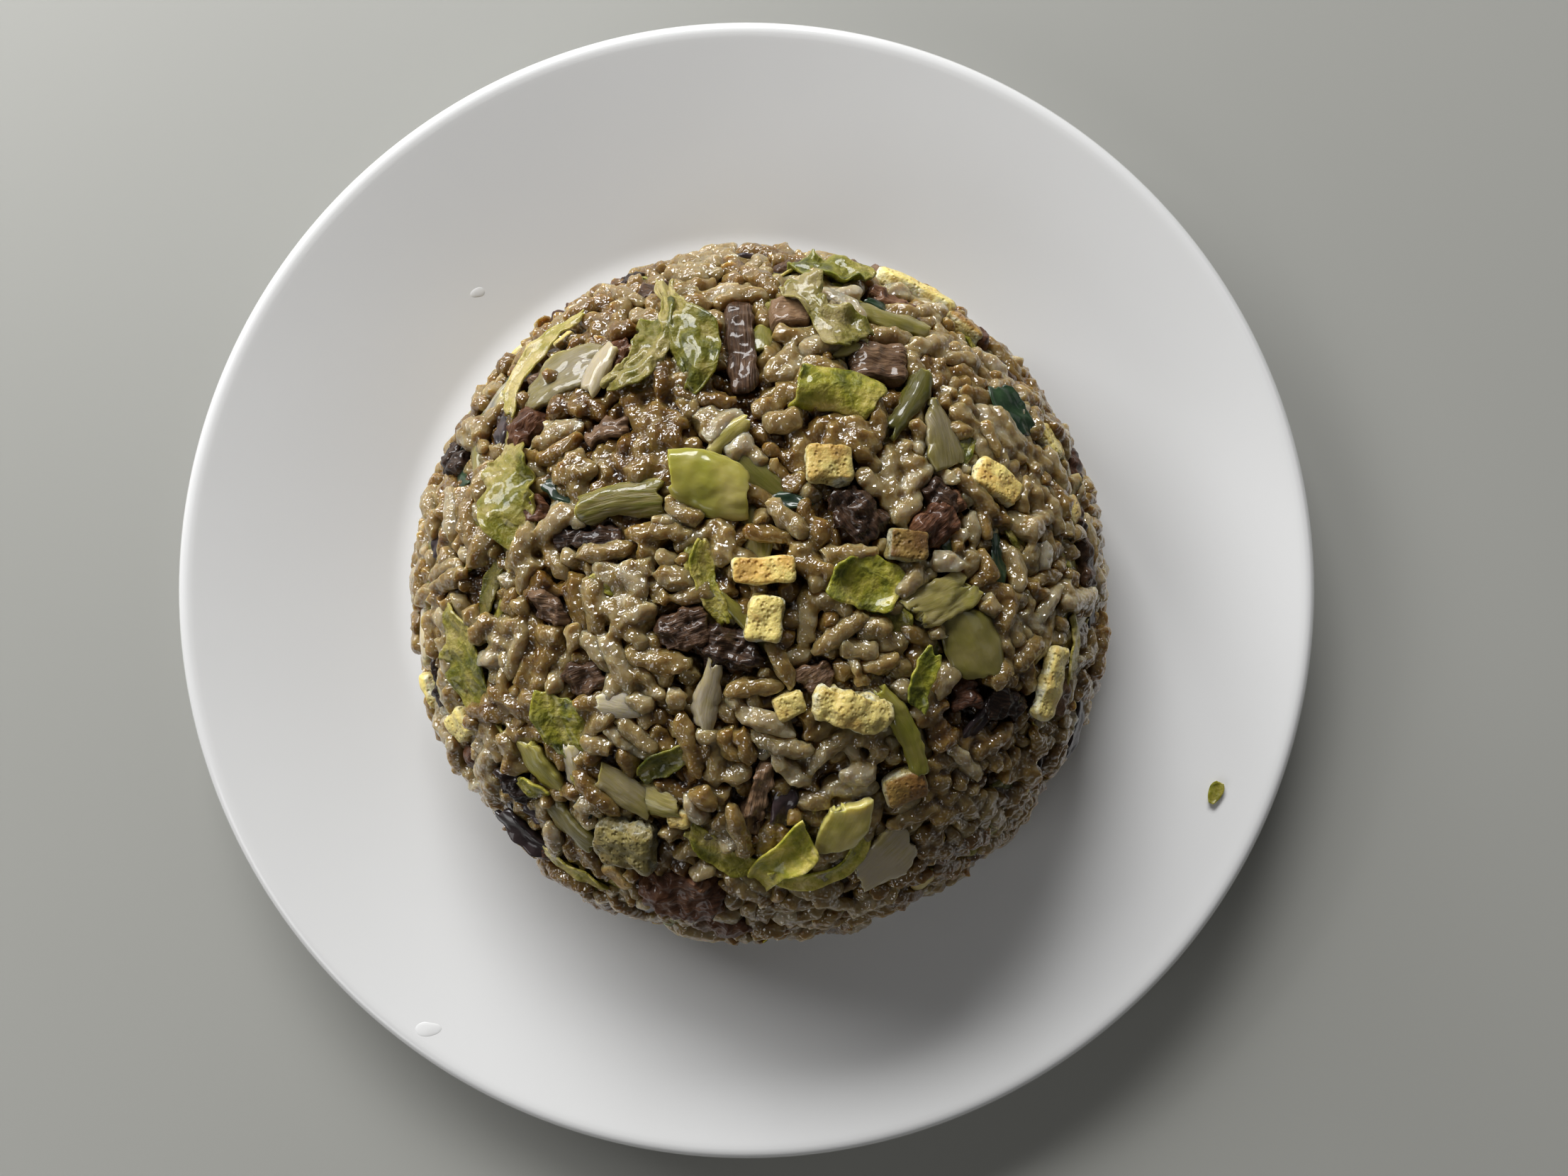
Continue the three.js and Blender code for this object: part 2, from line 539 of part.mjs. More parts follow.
// The rice: the core with grains fused on wherever one lies clear of the other pieces.
function riceHeap(pieces) {
  const random = seededRandom(20);
  const spaces = pieces.map(({ space }) => ({ space, box: space.boundingBox() }));
  const crosses = (grain) => {
    const box = grain.boundingBox();
    return spaces.some(
      (other) => boxesMeet(box, other.box) && grain.intersect(other.space).volume() > 0.05,
    );
  };
  const grains = [];
  for (const direction of evenSpots(GRAIN_SPOTS)) {
    const point = domePoint(direction, CORE_DEPTH);
    const normal = domeNormal(point, CORE_DEPTH);
    for (let attempt = 0; attempt < GRAIN_TRIES; attempt++) {
      const length = GRAIN_LENGTH * (0.8 + 0.35 * random()) * (1 - 0.1 * attempt);
      const thickness = GRAIN_THICKNESS * (0.9 + 0.25 * random());
      const ahead = new THREE.Vector3(random() - 0.5, random() - 0.5, random() - 0.5);
      ahead.addScaledVector(normal, -ahead.dot(normal)).normalize();
      ahead.addScaledVector(normal, GRAIN_TILT * (random() - 0.5)).normalize();
      const aside = normal.clone().cross(ahead).normalize();
      const basis = new THREE.Matrix4().makeBasis(ahead, aside, ahead.clone().cross(aside));
      basis.setPosition(point.clone().addScaledVector(normal, GRAIN_RISE + 0.5 * random()));
      const grain = solidFrom(grainGeometry(length, thickness).applyMatrix4(basis));
      if (!crosses(grain)) {
        grains.push(grain);
        break;
      }
    }
  }
  const below = new THREE.BoxGeometry(3 * PLATE_RADIUS, 3 * PLATE_RADIUS, 40);
  let heap = wasm.Manifold.union([core(), ...grains]);
  heap = heap.subtract(solidFrom(below.translate(0, 0, HEAP_BASE - 20)));
  for (const { space } of spaces) heap = heap.subtract(space);
  return largestBody(heap.asOriginal().simplify(HEAP_TOLERANCE));
}

// ---- The whole --------------------------------------------------------------------------------

const pieces = fitPieces();
const friedRicePlate = new THREE.Group();
friedRicePlate.add(meshFrom(plate(), 'plate', FINISHES.porcelain));
friedRicePlate.add(meshFrom(riceHeap(pieces), 'rice_heap', FINISHES.rice));
friedRicePlate.add(meshFrom(rimCrumb(), 'leaf_crumb_on_rim', FINISHES.leaf));
for (const { name, kind, solid } of pieces) {
  friedRicePlate.add(meshFrom(solid, name, FINISHES[kind]));
}

export default friedRicePlate;
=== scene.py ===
import math

import bpy
import numpy as np
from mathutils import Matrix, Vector, kdtree, noise


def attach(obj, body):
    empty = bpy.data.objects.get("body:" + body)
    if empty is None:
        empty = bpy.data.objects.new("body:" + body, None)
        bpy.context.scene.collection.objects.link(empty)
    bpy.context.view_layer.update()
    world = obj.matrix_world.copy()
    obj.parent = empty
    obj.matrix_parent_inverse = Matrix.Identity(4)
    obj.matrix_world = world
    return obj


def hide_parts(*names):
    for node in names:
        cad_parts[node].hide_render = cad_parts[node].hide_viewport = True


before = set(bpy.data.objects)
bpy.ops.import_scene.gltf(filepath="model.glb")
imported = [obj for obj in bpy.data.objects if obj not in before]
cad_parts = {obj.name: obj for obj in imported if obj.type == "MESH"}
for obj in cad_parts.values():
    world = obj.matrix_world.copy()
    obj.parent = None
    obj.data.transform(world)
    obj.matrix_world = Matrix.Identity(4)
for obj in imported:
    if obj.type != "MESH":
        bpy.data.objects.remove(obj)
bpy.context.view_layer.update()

# ------------------------------------------------------------------------------------------------
# Plate
# White glazed porcelain, 206 mm across: a flat well, a cove, a wide rim that slopes up to a rolled
# edge, and a foot ring underneath. It was thrown from one section, turned round its middle, so a
# Geometry Nodes tree turns that section here.
# ------------------------------------------------------------------------------------------------

MM = 0.001  # sizes are in millimetres, and meshes in metres
PLATE_RADIUS = 103
PLATE_WALL = 4
WELL_RADIUS = 64
WELL_LEVEL = 5
COVE_RADIUS = 12
RIM_SLOPE = 17
FOOT_RADIUS = 57
FOOT_WIDTH = 4
FOOT_RISE = 1.6
PLATE_STEPS_ROUND = 257
PLATE_STEPS_ALONG = 240
CLOSING_DISTANCE = 0.01  # points of the turned section nearer than this are one point


def arc(r, z, radius, start, stop, steps):
    """Points of an arc in the plate's section, from one angle to another in degrees."""
    angles = np.radians(np.linspace(start, stop, steps + 1))
    return [(r + radius * math.cos(a), z + radius * math.sin(a)) for a in angles]


def rim_level(distance):
    """The height of the rim's upper face so far from the plate's centre."""
    slope = math.radians(RIM_SLOPE)
    cove_end = WELL_RADIUS + COVE_RADIUS * math.sin(slope)
    cove_level = WELL_LEVEL + COVE_RADIUS * (1 - math.cos(slope))
    return cove_level + (distance - cove_end) * math.tan(slope)


def plate_section():
    """The plate's section: from the middle of its underside, round its edge, to its middle again."""
    roll = PLATE_WALL / 2
    slope = math.radians(RIM_SLOPE)
    edge_radius = PLATE_RADIUS - roll
    edge = (edge_radius, rim_level(edge_radius - roll * math.sin(slope)) - roll * math.cos(slope))
    under = WELL_LEVEL - PLATE_WALL + FOOT_RISE / 2
    outer, inner = FOOT_RADIUS + FOOT_WIDTH / 2, FOOT_RADIUS - FOOT_WIDTH / 2
    return [
        (0, FOOT_RISE),
        (inner - 4, FOOT_RISE),
        (inner - 1, FOOT_RISE * 0.9),
        (inner - 0.2, 0.5),
        (inner + 0.5, 0),
        (outer - 0.5, 0),
        (outer + 0.3, 0.5),
        (outer + 1.4, under * 0.8),
        *arc(WELL_RADIUS, under + COVE_RADIUS * 1.4, COVE_RADIUS * 1.4, -90, -90 + RIM_SLOPE, 5),
        *arc(*edge, roll, -90 + RIM_SLOPE, 90 + RIM_SLOPE, 12),
        *arc(WELL_RADIUS, WELL_LEVEL + COVE_RADIUS, COVE_RADIUS, -90 + RIM_SLOPE, -90, 8),
        (WELL_RADIUS - 6, WELL_LEVEL),
        (0, WELL_LEVEL),
    ]


def new_tree(name, inputs):
    """A Geometry Nodes tree with the named inputs, (name, kind) each, and one geometry output."""
    tree = bpy.data.node_groups.new(name, "GeometryNodeTree")
    for socket, kind in [("Geometry", "NodeSocketGeometry"), *inputs]:
        tree.interface.new_socket(socket, in_out="INPUT", socket_type=kind)
    tree.interface.new_socket("Geometry", in_out="OUTPUT", socket_type="NodeSocketGeometry")
    return tree


def add_node(tree, kind, inputs=(), **settings):
    """A node with its settings, and with each named or numbered input set or linked."""
    node = tree.nodes.new(kind)
    for key, value in settings.items():
        setattr(node, key, value)
    for socket, value in dict(inputs).items():
        if isinstance(value, bpy.types.NodeSocket):
            tree.links.new(value, node.inputs[socket])
        else:
            node.inputs[socket].default_value = value
    return node


def set_inputs(modifier, values):
    """Sets a Geometry Nodes modifier's inputs by their names."""
    for item in modifier.node_group.interface.items_tree:
        if item.in_out == "INPUT" and item.name in values:
            modifier[item.identifier] = values[item.name]


def made_by(tree, base, values, name):
    """The plain mesh object that the tree makes from the base object, which is then removed."""
    modifier = base.modifiers.new(tree.name, "NODES")
    modifier.node_group = tree
    set_inputs(modifier, values)
    graph = bpy.context.evaluated_depsgraph_get()
    mesh = bpy.data.meshes.new_from_object(
        base.evaluated_get(graph), preserve_all_data_layers=True, depsgraph=graph
    )
    bpy.data.objects.remove(base)
    piece = bpy.data.objects.new(name, mesh)
    bpy.context.scene.collection.objects.link(piece)
    mesh.name = name
    return piece


def math_node(tree, operation, *values):
    """The value of a Math node."""
    return add_node(tree, "ShaderNodeMath", enumerate(values), operation=operation).outputs[0]


def vector_math(tree, operation, first, second=None, scale=None):
    """The vector of a Vector Math node."""
    inputs = {0: first}
    if second is not None:
        inputs[1] = second
    if scale is not None:
        inputs["Scale"] = scale
    return add_node(tree, "ShaderNodeVectorMath", inputs, operation=operation).outputs[0]


def turning_tree():
    """Turns a section, drawn as a chain of points in the XZ plane, round the Z axis."""
    tree = new_tree(
        "turned_section",
        [
            ("Steps round", "NodeSocketInt"),
            ("Steps along", "NodeSocketInt"),
            ("Material", "NodeSocketMaterial"),
        ],
    )
    given = add_node(tree, "NodeGroupInput").outputs
    section = add_node(tree, "GeometryNodeMeshToCurve", {"Mesh": given["Geometry"]}).outputs[0]
    grid = add_node(
        tree,
        "GeometryNodeMeshGrid",
        {"Size X": 1, "Size Y": 1, "Vertices X": given["Steps along"], "Vertices Y": given["Steps round"]},
    )
    position = add_node(tree, "GeometryNodeInputPosition").outputs[0]
    place = add_node(tree, "ShaderNodeSeparateXYZ", {0: position})
    share = math_node(tree, "ADD", place.outputs["X"], 0.5)
    angle = math_node(tree, "MULTIPLY", math_node(tree, "ADD", place.outputs["Y"], 0.5), 2 * math.pi)
    on_section = add_node(
        tree, "GeometryNodeSampleCurve", {"Curves": section, "Factor": share}, mode="FACTOR"
    )
    radius = add_node(tree, "ShaderNodeSeparateXYZ", {0: on_section.outputs["Position"]})
    x = math_node(tree, "MULTIPLY", radius.outputs["X"], math_node(tree, "COSINE", angle))
    y = math_node(tree, "MULTIPLY", radius.outputs["X"], math_node(tree, "SINE", angle))
    turned = add_node(tree, "ShaderNodeCombineXYZ", {"X": x, "Y": y, "Z": radius.outputs["Z"]})
    placed = add_node(
        tree, "GeometryNodeSetPosition", {"Geometry": grid.outputs["Mesh"], "Position": turned.outputs[0]}
    )
    closed = add_node(
        tree,
        "GeometryNodeMergeByDistance",
        {"Geometry": placed.outputs[0], "Distance": CLOSING_DISTANCE * MM},
    )
    smooth = add_node(tree, "GeometryNodeSetShadeSmooth", {"Geometry": closed.outputs[0]})
    finished = add_node(
        tree, "GeometryNodeSetMaterial", {"Geometry": smooth.outputs[0], "Material": given["Material"]}
    )
    add_node(tree, "NodeGroupOutput", {"Geometry": finished.outputs[0]})
    return tree


def new_material(name, roughness=0.4, **settings):
    """A material with its nodes, and its Principled shader with plain values on its own sockets."""
    material = bpy.data.materials.new(name)
    material.use_nodes = True
    shader = material.node_tree.nodes["Principled BSDF"]
    shader.inputs["Roughness"].default_value = roughness
    for socket, value in settings.items():
        shader.inputs[socket.replace("_", " ")].default_value = value
    return material, material.node_tree, shader


def ramp(tree, factor, *stops):
    """A colour ramp's colour, from (place, colour) stops."""
    node = add_node(tree, "ShaderNodeValToRGB", {0: factor})
    while len(node.color_ramp.elements) < len(stops):
        node.color_ramp.elements.new(1)
    for element, (place, colour) in zip(node.color_ramp.elements, stops):
        element.position = place
        element.color = (*colour, 1)
    return node.outputs["Color"]


def object_noise(tree, scale, detail=2, **inputs):
    """A noise value on the piece's own coordinates; scale counts features a metre."""
    place = add_node(tree, "ShaderNodeTexCoord").outputs["Object"]
    values = {"Vector": place, "Scale": scale, "Detail": detail, **inputs}
    return add_node(tree, "ShaderNodeTexNoise", values).outputs["Fac"]


def stretch(tree, value, low, high, out_low=0, out_high=1):
    """A value spread from one range to another."""
    inputs = {"Value": value, 1: low, 2: high, 3: out_low, 4: out_high}
    return add_node(tree, "ShaderNodeMapRange", inputs).outputs[0]


def set_bump(tree, shader, height, strength, depth, socket="Normal"):
    """Makes a surface uneven by a height value, some mm deep, in one of the shader's normals."""
    inputs = {"Height": height, "Strength": strength, "Distance": depth * MM}
    tree.links.new(add_node(tree, "ShaderNodeBump", inputs).outputs[0], shader.inputs[socket])


def porcelain():
    """White glaze: faint long waves from the glaze's run, and a roughness that hardly changes."""
    material, tree, shader = new_material(
        "porcelain_glaze", 0.16, IOR=1.5, Coat_Weight=0.25, Coat_Roughness=0.06
    )
    cloud = object_noise(tree, 18, 3)
    tree.links.new(
        ramp(tree, cloud, (0.3, (0.80, 0.80, 0.795)), (0.7, (0.83, 0.83, 0.827))),
        shader.inputs["Base Color"],
    )
    tree.links.new(stretch(tree, object_noise(tree, 60), 0.3, 0.7, 0.16, 0.22), shader.inputs["Roughness"])
    set_bump(tree, shader, object_noise(tree, 35, 1), 0.06, 0.6)
    return material


def fit(piece, node=None):
    """Puts a piece on the part's one body, and in the place of its node if it has one."""
    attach(piece, "root")
    if node:
        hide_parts(node)


section_points = [(r * MM, 0, z * MM) for r, z in plate_section()]
section_mesh = bpy.data.meshes.new("plate_section")
section_mesh.from_pydata(section_points, [(i, i + 1) for i in range(len(section_points) - 1)], [])
section = bpy.data.objects.new("plate_section", section_mesh)
bpy.context.scene.collection.objects.link(section)
plate = made_by(
    turning_tree(),
    section,
    {"Steps round": PLATE_STEPS_ROUND, "Steps along": PLATE_STEPS_ALONG, "Material": porcelain()},
    "porcelain_plate",
)
fit(plate, "plate")

# ------------------------------------------------------------------------------------------------
# Heart of the heap
# Rice pressed into a round bowl and turned out is a dome that bulges at its shoulder. This is the
# inside of that dome, which shows only between the grains. Its colour is made darker there, partly for
# sauce and partly as painted shade in the gaps. It is shaped here, and grown together with the deepest
# grains once they are laid.
# ------------------------------------------------------------------------------------------------

HEAP_FOOT = np.array([2.4, -0.6, WELL_LEVEL + 0.3])
HEAP_RADIUS = 62
HEAP_HEIGHT = 50
HEAP_POWER = 2.4
HEART_DEPTH = 3.2
DIP_DEPTH = 3.4  # the rice also sinks of itself, in dips of this depth and size
DIP_SIZE = 8.5

# Hollows between the grains that stay open: place seen from above, radius and depth.
HOLLOWS = [
    (8.5, -7.8, 3.4, 5.5),
    (21.7, 13.6, 3.6, 6),
    (40, -27.5, 3.2, 5),
    (45, -18.6, 3, 5),
    (-24.7, -11.2, 2.6, 5),
    (-10.5, -37.5, 3, 5),
    (-32.6, 24, 3.6, 5),
    (-4, 30.3, 2.4, 5),
    (0.4, 27, 2.6, 5),
    (-14.5, 9, 3, 4),
    (-21, 31.6, 1.8, 4),
    (5, 20.5, 2.6, 4),
    (-13, -19, 2.6, 4),
    (20.5, -33.5, 3.2, 5),
    (9, -24.5, 2.4, 4),
    (30, -22.5, 2.6, 4),
    (-31, 6.5, 2.2, 4),
    (-21.5, 20.5, 2.4, 4),
    (33, 2.5, 2.4, 4),
]


def unit(vectors):
    """Vectors at a length of 1."""
    return vectors / np.maximum(np.linalg.norm(vectors, axis=-1, keepdims=True), 1e-9)


def dome_normal(points, depth=0.0):
    """The outward direction of the dome at points, which are measured from the heap's foot."""
    radius, height = HEAP_RADIUS - depth, HEAP_HEIGHT - depth
    flat = np.maximum(np.hypot(points[..., 0], points[..., 1]), 1e-6)
    out = (flat / radius) ** (HEAP_POWER - 1) / radius
    up = (np.maximum(points[..., 2], 0) / height) ** (HEAP_POWER - 1) / height
    return unit(np.stack([points[..., 0] / flat * out, points[..., 1] / flat * out, up], -1))


def dome_share(points, depth=0.0):
    """How large the dome would be, against its size, for these points to be on it."""
    flat = np.hypot(points[..., 0], points[..., 1]) / (HEAP_RADIUS - depth)
    up = np.maximum(points[..., 2], 0) / (HEAP_HEIGHT - depth)
    return (flat**HEAP_POWER + up**HEAP_POWER) ** (1 / HEAP_POWER)


def on_dome(directions, depth=0.0):
    """The points of the dome in these directions from the heap's foot, and its normals there."""
    points = directions / dome_share(directions, depth)[..., None]
    return points, dome_normal(points, depth)


def field(points, scale, seed=0):
    """Smooth noise at points in mm, about -1 to 1, with features of the given size in mm."""
    shift = Vector((seed * 17.3, seed * 5.1, seed * 9.7))
    flat = np.asarray(points).reshape(-1, 3) / scale
    values = [noise.noise(Vector(p) + shift) for p in flat]
    return np.array(values).reshape(np.asarray(points).shape[:-1])


def hollow_depth(points):
    """How much lower the rice lies at points, measured from the heap's foot, in its hollows."""
    top = np.clip(points[..., 2] / HEAP_HEIGHT, 0, 1) ** 2
    depth = DIP_DEPTH * np.clip((field(points, DIP_SIZE, 7) - 0.16) / 0.3, 0, 1) * (0.25 + 0.75 * top)
    for x, y, radius, lowest in HOLLOWS:
        far = np.hypot(points[..., 0] + HEAP_FOOT[0] - x, points[..., 1] + HEAP_FOOT[1] - y) / radius
        depth = np.maximum(depth, lowest * np.exp(-(far**2)))
    return depth


def heart_mesh(around=240, up=80):
    """The dome's inside as a closed shell of rings, uneven like packed grains."""
    angle, level = np.meshgrid(
        np.linspace(0, 2 * np.pi, around, endpoint=False), np.linspace(0.0, 0.995, up) * np.pi / 2
    )
    directions = np.stack(
        [np.cos(level) * np.cos(angle), np.cos(level) * np.sin(angle), np.sin(level)], -1
    )
    points, normal = on_dome(directions, HEART_DEPTH)
    lumps = 1.3 * field(points, 3.4) + 0.8 * field(points, 1.7, 2) - hollow_depth(points)
    lumps[0] = 0
    points = points + normal * lumps[..., None]
    verts = np.concatenate([points.reshape(-1, 3), [points[-1].mean(0), [0, 0, 0]]]) + HEAP_FOOT
    at = lambda ring, k: ring * around + k % around
    faces = [
        (at(i, k), at(i, k + 1), at(i + 1, k + 1), at(i + 1, k))
        for i in range(up - 1)
        for k in range(around)
    ]
    top, bottom = len(verts) - 2, len(verts) - 1
    faces += [(at(up - 1, k), at(up - 1, k + 1), top) for k in range(around)]
    faces += [(at(0, k + 1), at(0, k), bottom) for k in range(around)]
    return verts, faces


# ------------------------------------------------------------------------------------------------
# Cabbage leaf
# Torn and shredded leaf of a young cabbage, wilted in the pan: thin, wet, half see-through, bright
# yellow-green with paler ribs, curled and folded as it fell among the grains.
# ------------------------------------------------------------------------------------------------

LEAF_THICKNESS = 0.5
LIMP_THICKNESS = 0.8  # a piece thinner than this bends and creases easily
BED_DEPTH = 2.7  # how deep the pieces of food are bedded in the rice
bedded = []  # the balls that fill each piece of food, (places, radii), which the grains keep clear of


def place_on_bed(at, turn):
    """A place on the bed: the point, and the ways ahead and aside.

    at is the place seen from above, or for the steep sides a direction from the heap's foot.
    """
    if len(at) == 3:
        point = np.array(at, float) / dome_share(np.array(at, float), BED_DEPTH)
    else:
        across = np.array(at, float) - HEAP_FOOT[:2]
        radius, height = HEAP_RADIUS - BED_DEPTH, HEAP_HEIGHT - BED_DEPTH
        share = min(np.hypot(*across) / radius, 0.985)
        across = across / max(np.hypot(*across), 1e-6) * share * radius
        point = np.array([*across, height * (1 - share**HEAP_POWER) ** (1 / HEAP_POWER)])
    normal = dome_normal(point, BED_DEPTH)
    ahead = np.array([math.cos(math.radians(turn)), math.sin(math.radians(turn)), 0])
    ahead = unit(ahead - ahead @ normal * normal)
    return point, ahead, np.cross(normal, ahead)


def over_bed(place, ahead, aside, height):
    """Points so far ahead and aside of a place along the bed, and so high over it."""
    point, way, side = place
    directions = unit(point + ahead[..., None] * way + aside[..., None] * side)
    directions[..., 2] = np.maximum(directions[..., 2], 0.02)
    surface, normal = on_dome(directions, BED_DEPTH)
    return surface + normal * height[..., None]


def smooth_values(values, share):
    """Values at shares from 0 to 1 of a smooth line through a few values spread evenly."""
    values = np.atleast_1d(np.asarray(values, float))
    last = len(values) - 1
    if last == 0:
        return np.full_like(share, values[0])
    step = np.clip(share, 0, 1) * last
    i = np.minimum(step.astype(int), last - 1)
    f = step - i
    before, here = values[np.maximum(i - 1, 0)], values[i]
    there, after = values[i + 1], values[np.minimum(i + 2, last)]
    bend = 2 * before - 5 * here + 4 * there - after
    return here + 0.5 * f * (there - before + f * (bend + f * (3 * (here - there) + after - before)))


def shell_faces(rows, columns):
    """Faces of a closed sheet whose upper and lower grids follow each other in the points."""
    top = lambda i, j: i * columns + j
    below = rows * columns
    faces = []
    for i in range(rows - 1):
        for j in range(columns - 1):
            a, b, c, d = top(i, j), top(i + 1, j), top(i + 1, j + 1), top(i, j + 1)
            faces.append((a, b, c, d))
            faces.append((d + below, c + below, b + below, a + below))
    rim = [top(i, 0) for i in range(rows)]
    rim += [top(rows - 1, j) for j in range(1, columns)]
    rim += [top(i, columns - 1) for i in range(rows - 2, -1, -1)]
    rim += [top(0, j) for j in range(columns - 2, 0, -1)]
    for a, b in zip(rim, rim[1:] + rim[:1]):
        faces.append((b, a, a + below, b + below))
    return faces


def lay_sheet(at, turn, length, width, thick, seed, **shape):
    """A thin piece laid over the bed: its points, faces and values.

    Each list in shape holds a few values from its start to its end: left and right are shares of
    half the width, rise is its height in mm, heading its turn, roll its lean and curl its bend
    across, in degrees. ruffle waves its edges, crease crumples it and tear makes its outline
    uneven, in mm.
    """
    rows, columns = shape.get("steps", (40, 19))
    u = np.linspace(0, 1, rows)[:, None] + np.zeros(columns)
    v = np.linspace(-1, 1, columns) + np.zeros((rows, 1))
    value = lambda key, usual: smooth_values(shape.get(key, usual), u)
    tear, ruffle = shape.get("tear", 0.35), shape.get("ruffle", 0.3)
    rough = lambda x, y, k: np.array(
        [noise.noise(Vector((a, b, seed * 2.1 + k))) for a, b in zip(x.ravel(), y.ravel())]
    ).reshape(u.shape)
    reach = np.where(v > 0, value("left", (0.8, 1, 1, 0.7)), value("right", (0.8, 1, 1, 0.7)))
    edge = np.sign(v) * 5
    reach = reach * (1 - 0.25 * np.abs(2 * u - 1) ** 6)
    torn = rough(u * length / 1.3, edge, 1) + 1.8 * rough(u * length / 4, edge, 2)
    reach = reach * width / 2 + tear * torn
    across = v * reach
    limp = thick < LIMP_THICKNESS
    wobble = min(20, 1.6 * length) * np.sin(u * 4.2 + seed * 1.3) * (1 if limp else 0.25)
    heading = np.radians(value("heading", 0) + wobble)
    heading = heading - heading[rows // 2, 0]
    step = length / (rows - 1)
    ahead = np.cumsum(np.cos(heading), 0) * step
    aside = np.cumsum(np.sin(heading), 0) * step
    ahead, aside = ahead - ahead[rows // 2, 0], aside - aside[rows // 2, 0]
    end = np.abs(2 * u - 1) ** 4
    slant = 0.22 * width * math.sin(seed * 2.4) * v + 3 * tear * rough(v * 1.6, np.sign(u - 0.5) * 3, 3)
    ahead = ahead + end * slant
    curl = np.radians(value("curl", 20)) / np.maximum(2 * np.abs(reach), 0.5)
    curl = np.where(np.abs(curl) < 1e-4, 1e-4, curl)
    out, lift = np.sin(curl * across) / curl, (1 - np.cos(curl * across)) / curl
    roll = np.radians(value("roll", 0) + 13 * math.sin(seed * 1.7))
    side = out * np.cos(roll) - lift * np.sin(roll)
    height = out * np.sin(roll) + lift * np.cos(roll)
    height = height + rough(u * length / 3.2, v * 1.3, 0) * ruffle * (0.35 + 1.4 * v * v)
    fold = 1 - 2.4 * np.abs(rough(u * length / 6, v * width / 7, 4))
    wrinkle = 1 - 2.4 * np.abs(rough(u * length / 2.6, v * width / 3, 5))
    height = height + shape.get("crease", 0.35 if limp else 0.12) * (fold + 0.4 * wrinkle)
    thickness = smooth_values(shape.get("thick", (thick,)), u) * (1 - 0.35 * np.abs(v) ** 3)
    dip = 0.6 * math.sin(seed * 2.9) * (2 * u - 1)
    height = np.maximum(height + value("rise", 1.0) + dip, -1.8) + thickness / 2
    ahead_all = ahead - np.sin(heading) * side
    aside_all = aside + np.cos(heading) * side
    place = place_on_bed(at, turn)
    middle = over_bed(place, ahead_all, aside_all, height)
    along = np.gradient(middle, axis=0)
    over = np.gradient(middle, axis=1)
    normal = unit(np.cross(along, over))
    half = thickness[..., None] / 2
    verts = np.stack([middle + normal * half, middle - normal * half]).reshape(-1, 3)
    both = lambda grid: np.tile(grid.ravel(), 2)
    values = {"along": both(u), "across": both(v), "fibre": both(across)}
    balls = middle[4:-4:3, 3:-3:3].reshape(-1, 3)
    bedded.append((balls, np.full(len(balls), float(np.mean(thickness)) / 2 + 0.25)))
    return verts + HEAP_FOOT, shell_faces(rows, columns), values


def attribute(tree, name):
    """A named value that the piece's points carry."""
    return add_node(tree, "ShaderNodeAttribute", attribute_name=name).outputs["Fac"]


def shaded(tree, colour):
    """A colour made lighter or darker by each piece's own lightness, which is partly its own colour and
    partly painted light and painted shade.
    """
    return vector_math(tree, "SCALE", colour, scale=attribute(tree, "shade"))


def net_of_veins(tree, scale):
    """Fine lines that part a leaf into cells, 1 on the line and 0 off it."""
    where = add_node(tree, "ShaderNodeTexCoord").outputs["Object"]
    cloud = add_node(tree, "ShaderNodeTexNoise", {"Vector": where, "Scale": scale * 0.7}).outputs["Color"]
    bent = vector_math(tree, "ADD", where, vector_math(tree, "SCALE", cloud, scale=1.2 / scale))
    cells = add_node(
        tree, "ShaderNodeTexVoronoi", {"Vector": bent, "Scale": scale}, feature="DISTANCE_TO_EDGE"
    ).outputs["Distance"]
    return stretch(tree, cells, 0.01, 0.07, 1, 0)


def leaf_material():
    """Wilted leaf: olive to yellow-green, deeper in patches, with pale ribs and a net of veins."""
    material, tree, shader = new_material(
        "wilted_cabbage_leaf",
        0.42,
        Subsurface_Weight=0.6,
        Subsurface_Radius=(0.9, 1.0, 0.25),
        Subsurface_Scale=0.0014,
        Coat_Weight=0.5,
        Coat_Roughness=0.06,
        Specular_IOR_Level=0.2,
    )
    cloud = stretch(tree, object_noise(tree, 200, 3), 0.3, 0.7, -0.38, 0.38)
    blotch = stretch(tree, object_noise(tree, 620, 3), 0.3, 0.7, -0.16, 0.16)
    tone = math_node(tree, "ADD", attribute(tree, "fresh"), math_node(tree, "ADD", cloud, blotch))
    leaf = ramp(
        tree,
        tone,
        (0.0, (0.56, 0.455, 0.19)),
        (0.3, (0.37, 0.31, 0.07)),
        (0.6, (0.225, 0.21, 0.022)),
        (0.85, (0.115, 0.122, 0.011)),
        (1.0, (0.055, 0.062, 0.007)),
    )
    rib = stretch(tree, math_node(tree, "ABSOLUTE", attribute(tree, "across")), 0.03, 0.16, 0.6, 0)
    veins = math_node(tree, "MULTIPLY", net_of_veins(tree, 230), 0.13)
    pale = math_node(tree, "MAXIMUM", math_node(tree, "MULTIPLY", rib, attribute(tree, "ribbed")), veins)
    mixed = add_node(
        tree, "ShaderNodeMix", {"Factor": pale, 6: leaf, 7: (0.48, 0.42, 0.15, 1)}, data_type="RGBA"
    )
    tree.links.new(shaded(tree, mixed.outputs[2]), shader.inputs["Base Color"])
    height = math_node(tree, "ADD", math_node(tree, "MULTIPLY", veins, 0.8), object_noise(tree, 800, 3))
    set_bump(tree, shader, height, 0.7, 1.0)
    return material


leaf_finish = leaf_material()


